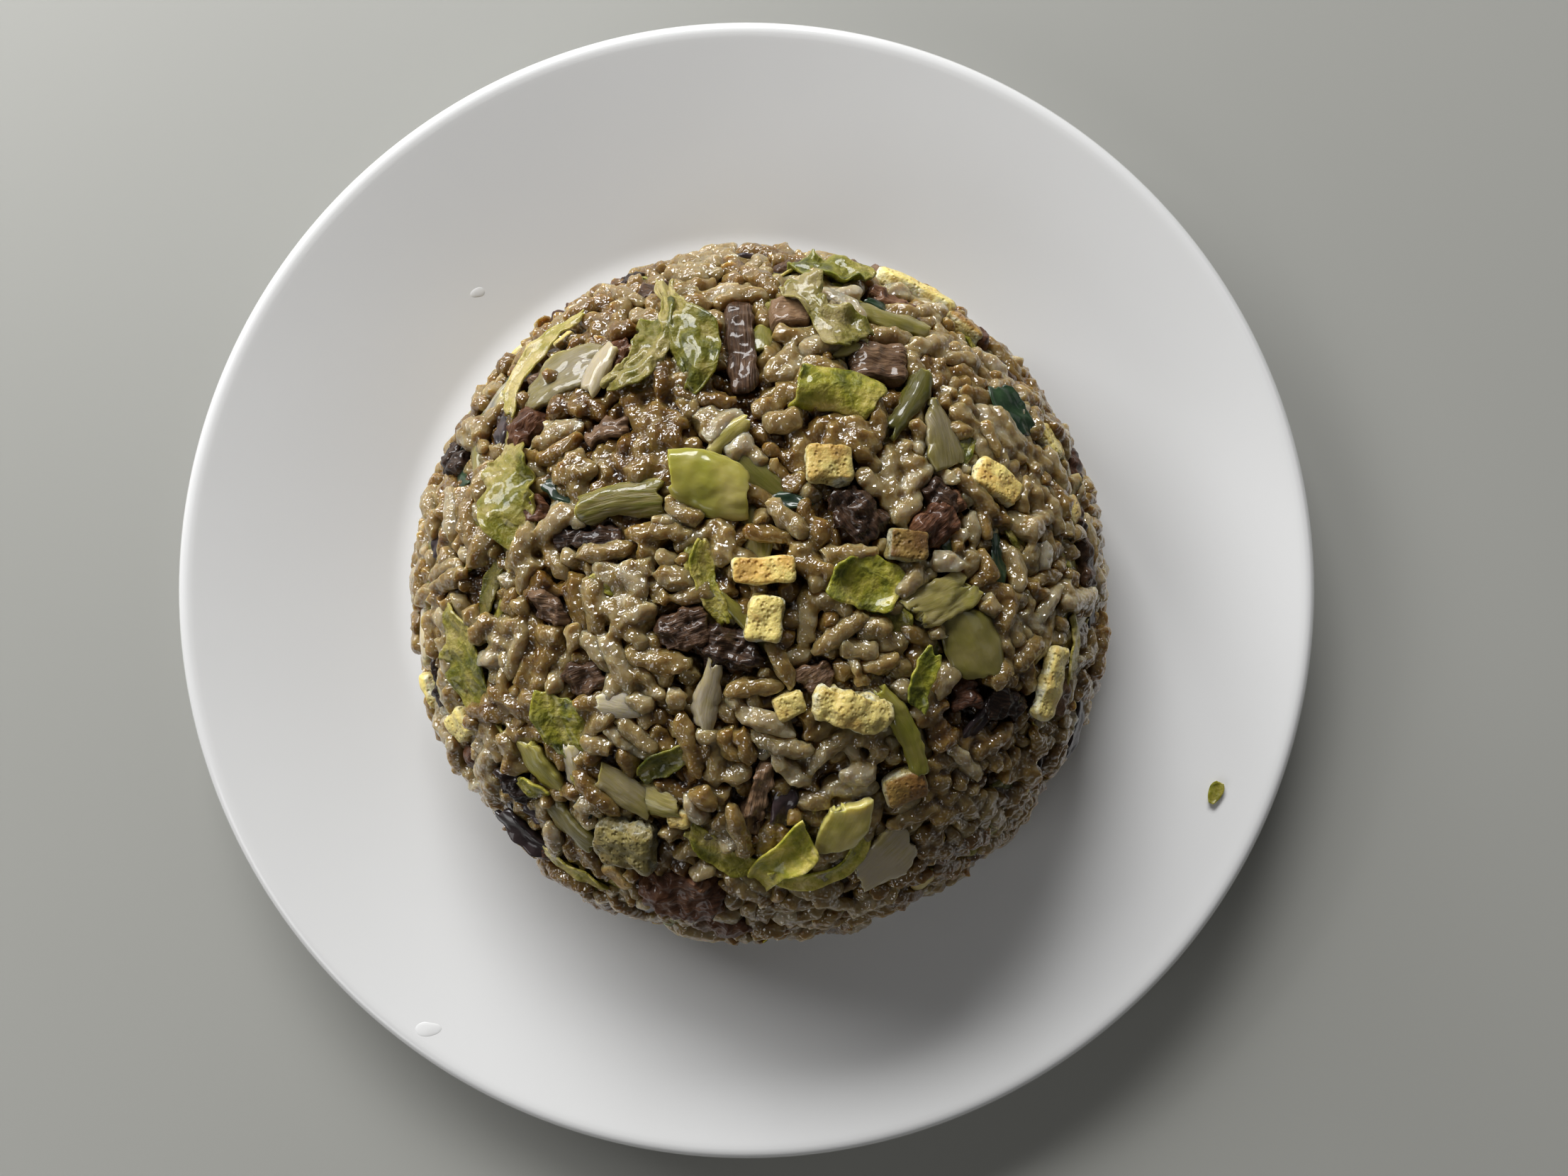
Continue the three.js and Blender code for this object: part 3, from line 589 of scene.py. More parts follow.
def new_piece(name, verts, faces, material, values=()):
    """A mesh object from points in mm, with named values at its points."""
    mesh = bpy.data.meshes.new(name)
    mesh.from_pydata((np.asarray(verts) * MM).tolist(), [], faces)
    mesh.validate()
    mesh.materials.append(material)
    mesh.polygons.foreach_set("use_smooth", np.ones(len(mesh.polygons), bool))
    for key, value in dict(values).items():
        value = np.asarray(value, np.float32)
        kind = "FLOAT" if value.ndim == 1 else "FLOAT_VECTOR"
        layer = mesh.attributes.new(key, kind, "POINT")
        layer.data.foreach_set("value" if value.ndim == 1 else "vector", value.ravel())
    mesh.update()
    piece = bpy.data.objects.new(name, mesh)
    bpy.context.scene.collection.objects.link(piece)
    return piece


def joined(parts):
    """Several meshes, (points, faces, values) each, as one."""
    verts, faces, values, start = [], [], {}, 0
    for some_verts, some_faces, some_values in parts:
        verts.append(some_verts)
        faces += [tuple(k + start for k in face) for face in some_faces]
        start += len(some_verts)
        for key, value in some_values.items():
            values.setdefault(key, []).append(value)
    return np.concatenate(verts), faces, {key: np.concatenate(value) for key, value in values.items()}


def with_tone(part, **tones):
    """A mesh with its named tones: each is one value, or a few from its start to its end."""
    verts, faces, values = part
    for key, value in tones.items():
        values[key] = smooth_values(value, values["along"])
    return verts, faces, values


def add_piece(name, part, finish, slot, node=None, **tones):
    """One piece from its mesh, in its finish and slot, and in the place of its node if it has one."""
    verts, faces, values = with_tone(part, **tones) if tones else part
    fit(new_piece(name, verts, faces, finish, values), node)


# Name, place seen from above, turn, length, width, how green, how light and how ribbed it is; how light is
# partly the leaf's own colour and partly painted light and painted shade.
LEAVES = [
    ("leaf_hero_right", (18.7, 1.2), -8, 10.5, 8, 0.64, 1.4, 0.0,
     dict(rise=(3.4, 2.4, 2.0, 2.6), left=(0.9, 1, 0.95, 0.85), right=(0.85, 0.9, 1, 0.9),
          curl=(120, 60, 30, 60), roll=(15, 5, 0, -8), tear=0.3, ruffle=0.3, crease=0.25)),
    ("leaf_hero_top", (14.6, 29), -4, 12.4, 8.6, (0.5, 0.6, 0.62, 0.5), 1.25, 0.2,
     dict(rise=(4.4, 3.9, 3.7, 3.4), left=(1.0, 0.9, 0.9, 0.9), right=(0.9, 1, 1, 0.95), heading=(-8, 0, 8),
          curl=(-100, -130, -120, -80), roll=(20, 10, 0, -5), tear=0.3, crease=0.3, ruffle=0.3)),
    ("leaf_hero_left", (-42.5, -11.5), -68, 15, 8.5, (0.35, 0.5, 0.6, 0.45), 0.85, 0.4,
     dict(rise=(1.6, 1.6, 1.2, 1.0), left=(0.8, 1, 0.9, 0.6), right=(0.7, 1, 1, 0.6), heading=(10, 0, -8),
          curl=(20, 40, 45, 25), tear=0.4, crease=0.6, ruffle=0.6)),
    ("leaf_bright_left", (-26.3, -20.5), -78, 10, 8, 0.6, 1.1, 0.9,
     dict(rise=(2.2, 1.8, 1.2, 0.8), left=(1, 1, 0.8, 0.6), right=(1, 1, 0.8, 0.6), curl=(50, 60, 45, 20),
          tear=0.35, crease=0.5)),
    ("leaf_twisted", (-8.2, 38.2), -68, 20, 8.4, (0.0, 0.05, 0.2, 0.66, 0.68, 0.5), 0.74, 0.3,
     dict(rise=(3.6, 4.3, 4.5, 4.3, 4.0, 2.8), left=(0.4, 0.38, 0.5, 1.15, 1.05, 0.5),
          right=(0.4, 0.38, 0.5, 0.75, 0.7, 0.45), heading=(20, 22, 4, -10, -30), roll=(-30, -10, 10, 20, 10),
          curl=(30, 40, 40, -50, -50, 20), tear=0.45, crease=0.7, ruffle=0.8)),
    ("leaf_folded", (-13.4, 34.2), -106, 16, 6.4, (0.7, 0.5, 0.25, 0.3), 0.62, 0.3,
     dict(rise=(3.6, 3.3, 3.1, 2.9), left=(1.2, 1.0, 0.8, 0.7), right=(1.1, 0.8, 0.8, 0.6),
          heading=(36, 6, -24), curl=(60, 70, 60, 30), roll=(10, -20, 10), tear=0.5, crease=0.8, ruffle=0.8)),
    ("leaf_ribbon", (-32.2, 35), -120, 21, 3.4, 0.12, 0.95, 0.4,
     dict(rise=(2.6, 3.3, 3.2, 2.8), left=(0.6, 0.9, 1, 0.7), right=(0.6, 1, 0.9, 0.7),
          heading=(-52, -30, 10, 40), curl=(40, 60, 50), crease=0.3)),
    ("leaf_crumpled", (-34.3, 15.5), -62, 15, 9, 0.36, 0.8, 0.3,
     dict(rise=(1.8, 2.2, 2.2, 1.6), left=(0.8, 1, 0.9, 0.8), right=(0.4, 0.8, 1.1, 1.2), ruffle=1.2,
          curl=(40, 70, 80, 40), tear=0.5, crease=0.8)),
    ("leaf_curl_pale", (12, 40.6), -58, 15, 8, (0.1, 0.2, 0.15, 0.4), 0.56, 0.5,
     dict(rise=(3.4, 3.4, 3.4, 3.4), left=(0.9, 0.7, 0.5, 0.9, 1.2), right=(1.1, 0.7, 0.5, 1.1, 1.0),
          roll=(20, 0, -20), curl=(60, 70, 60, 40), ruffle=0.9, crease=0.8, tear=0.5)),
    ("leaf_green_top", (14, 49.5), -8, 12, 7, (0.7, 0.75, 0.6, 0.5), 0.9, 0.2,
     dict(rise=(2.4, 2.4, 2.4, 2.6), left=(0.9, 1, 1, 0.9), curl=(70, 80, 70), ruffle=1.1, crease=0.8,
          tear=0.5)),
    ("leaf_top_edge", (-7.5, 59), 8, 11, 4.4, 0.35, 1.0, 0.2,
     dict(rise=(1.4, 1.4, 1.5), curl=(40, 50, 40), ruffle=0.7)),
    ("leaf_edge_bright", (26.4, -12.6), 72, 9, 3.8, 0.6, 1.5, 0.0,
     dict(rise=(2.8, 2.8, 2.8), left=(0.9, 1, 0.9), right=(0.9, 1, 0.9), curl=(90, 100, 80))),
    ("leaf_silver_right", (52.3, -8.5), 82, 11, 4.4, 0.3, 1.2, 0.4,
     dict(rise=(1.8, 2.0, 1.8), left=(0.9, 1, 0.9), curl=(20, 35, 20))),
    ("leaf_olive_strip", (-4.8, 1), -72, 13, 4.2, 0.42, 1.0, 0.3,
     dict(rise=(1.6, 1.4, 1.3, 1.2), roll=(-40, -10, 20), curl=(60, 80, 60), left=(0.8, 1, 0.9, 0.6),
          right=(0.7, 1, 0.8, 0.5), crease=0.5)),
    ("leaf_strip_left", (-38, 0.5), 66, 11, 3.6, 0.5, 0.4, 0.2,
     dict(rise=(0.8, 0.9, 0.7), heading=(-12, 0, 12), curl=(40, 60, 40), ruffle=0.5)),
    ("leaf_pale_edge", (-26, -44.6), -30, 11, 5, 0.25, 1.2, 0.4,
     dict(rise=(2.0, 2.2, 2.0), left=(0.8, 1, 0.9), curl=(20, 30, 40), ruffle=0.5)),
    ("leaf_curl_mid", (-11.4, -25.4), 28, 9, 4, 0.75, 0.7, 0.4,
     dict(rise=(1.2, 1.0, 1.3), left=(0.9, 1, 0.9), right=(0.9, 1, 0.9), curl=(90, 110, 80))),
    ("leaf_long_bottom", (-2.9, -40), -50, 13, 4.4, 0.45, 1.1, 0.3,
     dict(rise=(1.0, 1.3, 1.4), left=(0.8, 1, 0.9), curl=(30, 50, 50), crease=0.4)),
    ("leaf_film_edge", (38, -41.3), 42, 11, 5, 0.4, 0.9, 0.4,
     dict(rise=(0.6, 0.7, 0.6), curl=(15, 30, 15), ruffle=0.4)),
]

for seed, (name, at, turn, length, width, fresh, shade, ribbed, shape) in enumerate(LEAVES):
    sheet = lay_sheet(at, turn, length, width, LEAF_THICKNESS, seed, **shape)
    add_piece(name, sheet, leaf_finish, "leaf", name, fresh=fresh, shade=shade, ribbed=ribbed)

# The big leaf at the foot of the heap: a folded blade, and a ribbon that leaves its side.
blade = lay_sheet(
    (5.4, -40), 52, 14, 8.4, LEAF_THICKNESS, 40, rise=(1.6, 2.2, 2.8, 2.8), left=(0.6, 0.55, 0.7, 0.9),
    right=(0.7, 0.75, 0.9, 1.0), curl=(60, 110, 120, 80), roll=(0, 0, 10), tear=0.15, crease=0.12,
)
ribbon = lay_sheet(
    (13.4, -42.6), 14, 17, 4.4, LEAF_THICKNESS, 41, rise=(2.4, 2.4, 2.0, 1.8), heading=(-30, -8, 14, 40),
    left=(1, 0.8, 0.8, 0.6), right=(1, 1, 0.9, 0.6), curl=(80, 100, 110, 60), tear=0.2, crease=0.15,
)
add_piece(
    "leaf_folded_bottom", joined([blade, ribbon]), leaf_finish, "leaf", "leaf_folded_bottom",
    fresh=0.42, shade=1.6, ribbed=0.1,
)

# Smaller scraps: place, turn, length, width, how green, how light and rise; how light is partly the
# scrap's own colour and partly painted light and painted shade.
LEAF_SCRAPS = [
    ((-40, 12), 90, 6, 2.5, 0.5, 0.8, 0.8),
    ((-50, 3), 60, 5.5, 3, 0.5, 0.7, 0.6),
    ((-42.5, 4), 20, 5, 2.6, 0.55, 0.7, 0.8),
    ((-18.8, 0.8), -30, 5, 3, 0.5, 1.1, 1.4),
    ((5.5, 50), 60, 8, 4, 0.2, 1.0, 0.8),
    ((34, 22), 60, 6.5, 3, 0.72, 0.9, 1.2),
    ((23.2, -4.4), -60, 6.5, 4.2, 0.7, 0.8, 0.7),
    ((19.5, -1.8), -20, 7, 5, 0.75, 0.7, 0.3),
    ((11, -37), -63, 7, 2.5, 0.85, 0.8, 0.8),
    ((29, -46), 20, 7, 4, 0.45, 0.9, 0.4),
    ((-31.5, -30), -20, 5, 4, 0.55, 1.2, 1.6),
    ((-45, -31), -50, 9, 3, 0.45, 0.7, 0.4),
    ((-37, -3.5), 70, 8, 3, 0.6, 0.8, 0.6),
    ((-6.5, 4.5), -80, 7, 2.4, 0.5, 1.0, 1.2),
    ((20, -2.5), -70, 7, 4, 0.85, 0.6, 0.2),
    ((50.5, -3), 100, 8, 3, 0.5, 0.6, 0.5),
    ((17, 46), -30, 6, 3, 0.4, 0.9, 1.2),
    ((-46, 30), 60, 7, 3, 0.45, 0.8, 0.5),
    ((-51, 12), 80, 6, 2.6, 0.5, 0.6, 0.5),
    ((-24, -27.5), -80, 8, 3, 0.3, 1.0, 1.0),
    ((4, 44.5), 80, 5, 3, 0.6, 0.7, 0.5),
    ((-36, -24), -75, 7, 2.6, 0.4, 0.9, 0.8),
    ((42, 8), -60, 5, 2.4, 0.6, 0.6, 0.5),
    ((15, -52), 10, 8, 3, 0.4, 0.8, 0.4),
    ((-14, -53), -20, 6, 2.6, 0.4, 0.8, 0.3),
    ((38, 40), -40, 6, 2.4, 0.35, 0.9, 0.5),
    ((28, -10), 70, 6, 2.6, 0.85, 0.7, 0.4),
]
# One seeded row of draws for the whole dish, so that it comes out the same each time.
random = np.random.default_rng(31)


def low_scraps(count, low, high):
    """Random places on the heap's steep sides, as directions from its foot, each with a turn."""
    angle = random.uniform(0, 2 * np.pi, count)
    level = np.radians(random.uniform(low, high, count))
    turn = random.uniform(0, 360, count)
    ways = np.stack([np.cos(level) * np.cos(angle), np.cos(level) * np.sin(angle), np.sin(level)], 1)
    return list(zip(ways, turn))


scraps = []
for seed, (at, turn, length, width, fresh, shade, rise) in enumerate(LEAF_SCRAPS):
    sheet = lay_sheet(
        at, turn, length, width, LEAF_THICKNESS, seed + 150, rise=(rise, rise + 0.3, rise),
        curl=(40, 60, 50), ruffle=0.6, steps=(18, 9),
    )
    scraps.append(with_tone(sheet, fresh=fresh, shade=shade, ribbed=0.2))
for seed, (way, turn) in enumerate(low_scraps(26, 5, 32)):
    length, width = random.uniform(5, 11), random.uniform(2.2, 5)
    sheet = lay_sheet(
        way, turn, length, width, LEAF_THICKNESS, seed + 200, rise=(0.5, 0.9, 0.5), curl=(20, 50, 30),
        ruffle=0.6, steps=(18, 9),
    )
    scraps.append(with_tone(sheet, fresh=random.uniform(0.25, 0.75), shade=0.95, ribbed=0.3))
add_piece("leaf_scraps", joined(scraps), leaf_finish, "leaf")

# ------------------------------------------------------------------------------------------------
# Cabbage stalk and heart
# Cut pieces of rib and heart: thicker than leaf, glassy after frying, pale olive to fresh green,
# with fine threads that run along them.
# ------------------------------------------------------------------------------------------------

STALK_THICKNESS = 1.7


def threads_along(tree, across, along, detail):
    """Noise drawn out into threads that run along a piece, closer the more there are across."""
    ways = {
        "X": math_node(tree, "MULTIPLY", attribute(tree, "fibre"), across),
        "Y": math_node(tree, "MULTIPLY", attribute(tree, "along"), along),
    }
    place = add_node(tree, "ShaderNodeCombineXYZ", ways).outputs[0]
    inputs = {"Vector": place, "Scale": 1.0, "Detail": detail}
    return add_node(tree, "ShaderNodeTexNoise", inputs).outputs["Fac"]


def stalk_material():
    """Glassy rib: light sinks into it, and threads run along it."""
    material, tree, shader = new_material(
        "fried_cabbage_stalk",
        0.35,
        Subsurface_Weight=0.8,
        Subsurface_Radius=(1.0, 0.9, 0.3),
        Subsurface_Scale=0.0026,
        Coat_Weight=0.6,
        Coat_Roughness=0.06,
        Specular_IOR_Level=0.2,
    )
    cloud = object_noise(tree, 160, 3)
    thread = math_node(tree, "SUBTRACT", threads_along(tree, 2.6, 2.0, 2), 0.5)
    threads = math_node(tree, "MULTIPLY", thread, attribute(tree, "threads"))
    tone = math_node(tree, "ADD", attribute(tree, "fresh"), stretch(tree, cloud, 0.3, 0.7, -0.18, 0.18))
    tone = math_node(tree, "ADD", tone, math_node(tree, "MULTIPLY", threads, 1.3))
    colour = ramp(
        tree,
        tone,
        (0.0, (0.46, 0.39, 0.27)),
        (0.3, (0.36, 0.30, 0.115)),
        (0.55, (0.25, 0.22, 0.05)),
        (0.8, (0.19, 0.185, 0.022)),
        (1.0, (0.11, 0.10, 0.014)),
    )
    tree.links.new(shaded(tree, colour), shader.inputs["Base Color"])
    height = math_node(tree, "ADD", threads, math_node(tree, "MULTIPLY", object_noise(tree, 500), 0.4))
    set_bump(tree, shader, height, 0.5, 0.6)
    return material


stalk_finish = stalk_material()

# Name, place seen from above, turn, length, width, how green and how light it is; how light is partly
# the piece's own colour and partly painted light and painted shade.
STALKS = [
    ("heart_green", (-4, 15.2), -22, 11.6, 8.8, (0.72, 0.62, 0.48), 1.45,
     dict(rise=(2.3, 2.5, 2.4, 2.4), left=(0.75, 0.95, 1, 0.85), right=(0.8, 1, 1, 0.8),
          curl=(-40, -60, -45), crease=0.3, tear=0.12, threads=0.05)),
    ("stalk_pentagon", (34.6, -8), -62, 10.6, 8.6, 0.5, 0.75,
     dict(rise=(1.6, 1.7, 1.6), left=(0.85, 1, 1, 0.7), right=(0.8, 1, 1, 0.75), curl=(-20, -30, -20),
          ruffle=0.12, tear=0.15, threads=0.05)),
    ("stalk_glossy", (30, -1.2), 24, 10, 6.4, 0.42, 0.95,
     dict(rise=(1.2, 1.4, 1.3), left=(0.9, 1, 0.9), right=(0.9, 1, 0.9), curl=(30, 40, 30), crease=0.5)),
    ("stalk_translucent", (-27, 33.2), 14, 13.5, 7.4, 0.16, 0.62,
     dict(rise=(0.8, 1.0, 0.9), left=(0.8, 1, 1, 0.9), right=(0.8, 1, 1, 0.9), curl=(20, 30, 20),
          crease=0.3)),
    ("stalk_fibrous", (-17, 13.2), 6, 12.5, 5, (0.5, 0.5, 0.6), 0.66,
     dict(rise=(1.2, 1.3, 1.4), left=(0.9, 0.9, 0.9, 1), right=(0.9, 0.9, 1, 1), curl=(-50, -60, -50),
          crease=0.2, threads=1.3)),
    ("stalk_green_right", (23, 42.2), -6, 12.5, 4.4, 0.5, 0.75,
     dict(rise=(1.0, 1.1, 1.2), left=(0.9, 1, 0.9), right=(0.9, 1, 0.9), curl=(-50, -60, -40), crease=0.3)),
    ("stalk_olive", (25.8, 28.3), 57, 12, 3.4, 0.68, 0.4,
     dict(rise=(1.2, 1.4, 1.4), left=(0.6, 0.8, 1, 0.9), right=(0.6, 0.8, 1, 0.9), curl=(-40, -60, -50))),
    ("stalk_pear", (30.1, 23.6), 97, 10.5, 6, 0.3, 0.55,
     dict(rise=(0.9, 1.1, 1.2), left=(1, 1, 0.7, 0.3), right=(1, 1, 0.7, 0.3), curl=(20, 25, 15))),
    ("strand_long", (24.6, -20.6), -61, 15, 3, 0.68, 1.1,
     dict(rise=(1.8, 1.8, 1.5), left=(0.5, 0.8, 0.9, 1), right=(0.5, 0.8, 0.9, 1), heading=(5, 0, -5),
          curl=(-30, -40, -30))),
    ("onion_bottom", (22, -41), 55, 10.5, 7.8, 0.0, 1.0,
     dict(rise=(0.8, 1.2, 1.4), curl=(30, 45, 40), left=(0.8, 1, 1, 0.9), right=(0.7, 1, 1, 0.9))),
    ("stalk_yellow", (15.4, -34.6), 75, 8.6, 6.6, 0.42, 1.8,
     dict(rise=(2.2, 2.4, 2.3), left=(0.9, 1, 1, 0.9), right=(0.9, 0.9, 1, 0.9), curl=(15, 20, 15),
          tear=0.2, threads=0.1)),
    ("stalk_left_low", (-30.3, -26.6), -66, 9, 5, 0.5, 1.3,
     dict(rise=(1.0, 1.1, 0.8), left=(0.9, 1, 0.9), right=(0.9, 1, 0.9), curl=(30, 30, 20))),
    ("stalk_left_bottom", (-26.2, -36.4), -40, 9, 4.4, 0.42, 0.52,
     dict(rise=(0.7, 0.9, 0.7), left=(0.9, 1, 0.9), right=(0.9, 1, 0.9), curl=(20, 30, 20))),
    ("stalk_middle", (-17, -29.8), -42, 9, 4.4, 0.24, 0.85,
     dict(rise=(0.9, 1.1, 1.0), curl=(-20, -30, -20), left=(0.9, 1, 1, 0.9), right=(0.9, 1, 1, 0.9))),
    ("stalk_white", (-4.4, -15.2), 78, 9.5, 2.8, 0.05, 0.8,
     dict(rise=(1.2, 1.2, 1.3), left=(0.9, 1, 0.9), right=(0.9, 1, 0.9), curl=(-20, -30, -20))),
]

for seed, (name, at, turn, length, width, fresh, shade, shape) in enumerate(STALKS):
    strip = lay_sheet(at, turn, length, width, STALK_THICKNESS, seed + 60, **shape)
    threads = shape.get("threads", 0.4)
    add_piece(name, strip, stalk_finish, "stalk", name, fresh=fresh, shade=shade, threads=threads)

# Smaller bits: place, turn, length, width, thickness, how green, how light and rise; how light is partly
# the bit's own colour and partly painted light and painted shade.
STALK_BITS = [
    ((-1.5, 23), 45, 7, 2.5, 1.5, 0.3, 1.4, 1.0),
    ((3.3, 38.5), 90, 5, 3.5, 1.4, 0.55, 0.8, 0.3),
    ((17, 36.5), 20, 5, 2.5, 1.2, 0.3, 1.6, 1.6),
    ((3.6, 16.5), -40, 11, 5.5, 1.2, 0.6, 0.6, 0.0),
    ((2.6, 8.2), -80, 9, 4.4, 1.2, 0.4, 0.75, 0.0),
    ((-17, -16.5), -15, 6, 4, 0.9, 0.0, 1.5, 2.2),
    ((-12, -31.5), -10, 6.5, 5, 1.3, 0.36, 1.0, 0.8),
    ((1.8, -5.6), -49, 13.5, 1.8, 0.9, 0.66, 0.8, 0.8),
    ((-52.5, -7), -75, 10, 3.4, 1.8, 0.0, 1.5, 0.6),
    ((-24.8, -26.5), -85, 7, 3, 1.1, 0.02, 1.3, 1.2),
    ((-20.8, 33.5), 70, 8, 4, 2.0, 0.02, 1.0, 1.6),
    ((-42, 21), -60, 7, 2.6, 1.2, 0.4, 0.8, 0.6),
    ((44, -33), 30, 8, 3, 1.2, 0.2, 0.8, 0.6),
    ((-19, -35), -20, 7, 3, 1.2, 0.3, 0.9, 0.4),
    ((10, -55), 5, 9, 3, 1.2, 0.35, 0.9, 0.4),
    ((-36, 8), 80, 8, 2.8, 1.1, 0.45, 0.8, 0.3),
]

bits = []
for seed, (at, turn, length, width, thick, fresh, shade, rise) in enumerate(STALK_BITS):
    strip = lay_sheet(
        at, turn, length, width, thick, seed + 300, rise=(rise, rise + 0.2, rise), curl=(-15, -25, -10),
        left=(0.75, 1, 1, 0.7), right=(0.75, 1, 0.9, 0.7), steps=(18, 9),
    )
    bits.append(with_tone(strip, fresh=fresh, shade=shade, threads=0.5))
for seed, (way, turn) in enumerate(low_scraps(16, 5, 30)):
    length, width = random.uniform(6, 10), random.uniform(2.5, 5)
    strip = lay_sheet(way, turn, length, width, 1.4, seed + 330, rise=(0.3, 0.5, 0.3), steps=(18, 9))
    bits.append(with_tone(strip, fresh=random.uniform(0.1, 0.7), shade=1.0, threads=0.5))
add_piece("stalk_bits", joined(bits), stalk_finish, "stalk")

# ------------------------------------------------------------------------------------------------
# Dark leaf
# Scraps of a darker green leaf, nearly black in the shade, wet and shiny.
# ------------------------------------------------------------------------------------------------


def dark_leaf_material():
    """Deep green with a blue cast and a strong wet shine."""
    material, tree, shader = new_material(
        "dark_green_leaf", 0.4, Coat_Weight=0.7, Coat_Roughness=0.07, Specular_IOR_Level=0.15
    )
    cloud = object_noise(tree, 260, 3)
    tree.links.new(
        ramp(tree, cloud, (0.3, (0.006, 0.016, 0.01)), (0.75, (0.035, 0.07, 0.028))),
        shader.inputs["Base Color"],
    )
    set_bump(tree, shader, object_noise(tree, 600, 3), 0.4, 0.4)
    return material


dark_leaf_finish = dark_leaf_material()

# Name, place seen from above, turn, length and width.
DARK_LEAVES = [
    ("dark_leaf_right", (41.6, 27.2), -48, 9, 5.5, dict(rise=(2.4, 2.6, 2.4), curl=(30, 40, 30))),
    ("dark_leaf_slit", (38.9, 4.6), -78, 8.5, 2.8, dict(rise=(0.6, 0.8, 0.6), curl=(50, 60, 50))),
]

for seed, (name, at, turn, length, width, shape) in enumerate(DARK_LEAVES):
    sheet = lay_sheet(at, turn, length, width, LEAF_THICKNESS, seed + 90, **shape)
    add_piece(name, sheet, dark_leaf_finish, "dark_leaf", name)

# Smaller scraps: place, turn, length and width.
DARK_SCRAPS = [
    ((-26.5, 14.5), -25, 7.5, 3),
    ((-33, -46.5), -60, 7, 3),
    ((22.5, 45), -10, 5.5, 2.4),
    ((7.5, 13.2), -15, 6, 2.4),
    ((31.5, 5.5), -60, 5, 3),
    ((-24.5, -33), -60, 5, 2),
    ((-50.5, -25), -70, 4, 2),
    ((38.8, -46.2), 30, 4, 2),
]

dark_scraps = [
    lay_sheet(at, turn, length, width, LEAF_THICKNESS, seed + 95, rise=(0.7, 0.9, 0.7), steps=(16, 9))
    for seed, (at, turn, length, width) in enumerate(DARK_SCRAPS)
]
dark_scraps += [
    lay_sheet(way, turn, 6, 3, LEAF_THICKNESS, seed + 110, rise=(0.5, 0.8, 0.5), steps=(16, 9))
    for seed, (way, turn) in enumerate(low_scraps(8, 5, 30))
]
add_piece("dark_leaf_scraps", joined(dark_scraps), dark_leaf_finish, "dark_leaf")

# ------------------------------------------------------------------------------------------------
# Fried egg
# Omelette cut into dice and strips: pale yellow and full of small holes inside, with a smooth
# golden to brown skin on top where it met the pan.
# ------------------------------------------------------------------------------------------------

PIT_SPACING = 1.25
PIT_WIDTH = 0.42


def block_mesh(steps):
    """The outside of a block as a welded grid: points from -1 to 1 and outward faces."""
    index, verts, faces = {}, [], []

    def corner(p):
        if p not in index:
            index[p] = len(verts)
            verts.append([2 * p[k] / steps[k] - 1 for k in range(3)])
        return index[p]

    for axis in range(3):
        one, two = (axis + 1) % 3, (axis + 2) % 3
        for side in (0, steps[axis]):
            for i in range(steps[one]):
                for j in range(steps[two]):
                    ring = []
                    for di, dj in ((0, 0), (1, 0), (1, 1), (0, 1)):
                        p = [0, 0, 0]
                        p[axis], p[one], p[two] = side, i + di, j + dj
                        ring.append(corner(tuple(p)))
                    faces.append(tuple(ring if side else ring[::-1]))
    return np.array(verts), faces


def lay_chunk(at, turn, length, width, thick, seed, rise=0.0, tilt=0.0, blunt=5.0, lumpy=0.5,
              pits=0.0, crumple=0.0, bow=0.0, fine=2.2):
    """A thick piece laid over the bed: its points, faces and values.

    blunt is how square its corners are, lumpy, pits and crumple are depths in mm, tilt leans it
    ahead in degrees, and bow bends it up at its ends. fine is how many faces a mm it has.
    """
    steps = [max(4, int(size * (fine + (1 if crumple else 0)))) for size in (length, width, thick)]
    shape, faces = block_mesh(steps)
    outer = (np.abs(shape) ** blunt).sum(1)
    rounded = shape * (np.maximum(np.abs(shape).max(1), 1e-6) / outer ** (1 / blunt))[:, None]
    size = np.array([length, width, thick]) / 2
    local = rounded * size
    out = unit(rounded * np.abs(rounded) ** 1.5 / size)
    lumps = lumpy * field(local, 3.4, seed) + 0.4 * lumpy * field(local, 1.5, seed + 1)
    local = local + out * lumps[:, None]
    if crumple:
        folds = np.abs(field(local, 2.6, seed + 2)) + 0.5 * np.abs(field(local, 1.3, seed + 3))
        local = local - out * (crumple * (folds - 0.4))[:, None]
    if pits:
        shift = Vector((seed, 0, 0))
        holes = np.array([noise.voronoi(Vector(p) / PIT_SPACING + shift)[0][0] for p in local])
        inside = shape[:, 2] < 0.93
        local = local - out * (pits * np.clip(1 - holes / PIT_WIDTH, 0, 1) * inside)[:, None]
    local[:, 2] += bow * (2 * local[:, 0] / length) ** 2 + math.tan(math.radians(tilt)) * local[:, 0]
    place = place_on_bed(at, turn)
    verts = over_bed(place, local[:, 0], local[:, 1], rise + thick / 2 + local[:, 2])
    skin = np.clip((shape[:, 2] - 0.75) / 0.25, 0, 1)
    values = {"skin": skin, "along": shape[:, 0], "fibre": local[:, 1]}
    ball = min(width, thick) / 2
    inner = np.array(
        [(x, y) for x in np.linspace(-1, 1, max(2, int(length / ball))) * (length / 2 - ball * 0.8)
         for y in np.linspace(-1, 1, max(1, int(width / ball))) * max(width / 2 - ball * 0.8, 0)]
    )
    lift = rise + thick / 2 + math.tan(math.radians(tilt)) * inner[:, 0]
    balls = over_bed(place, inner[:, 0], inner[:, 1], lift)
    bedded.append((balls, np.full(len(balls), ball + 0.15)))
    return verts + HEAP_FOOT, faces, values


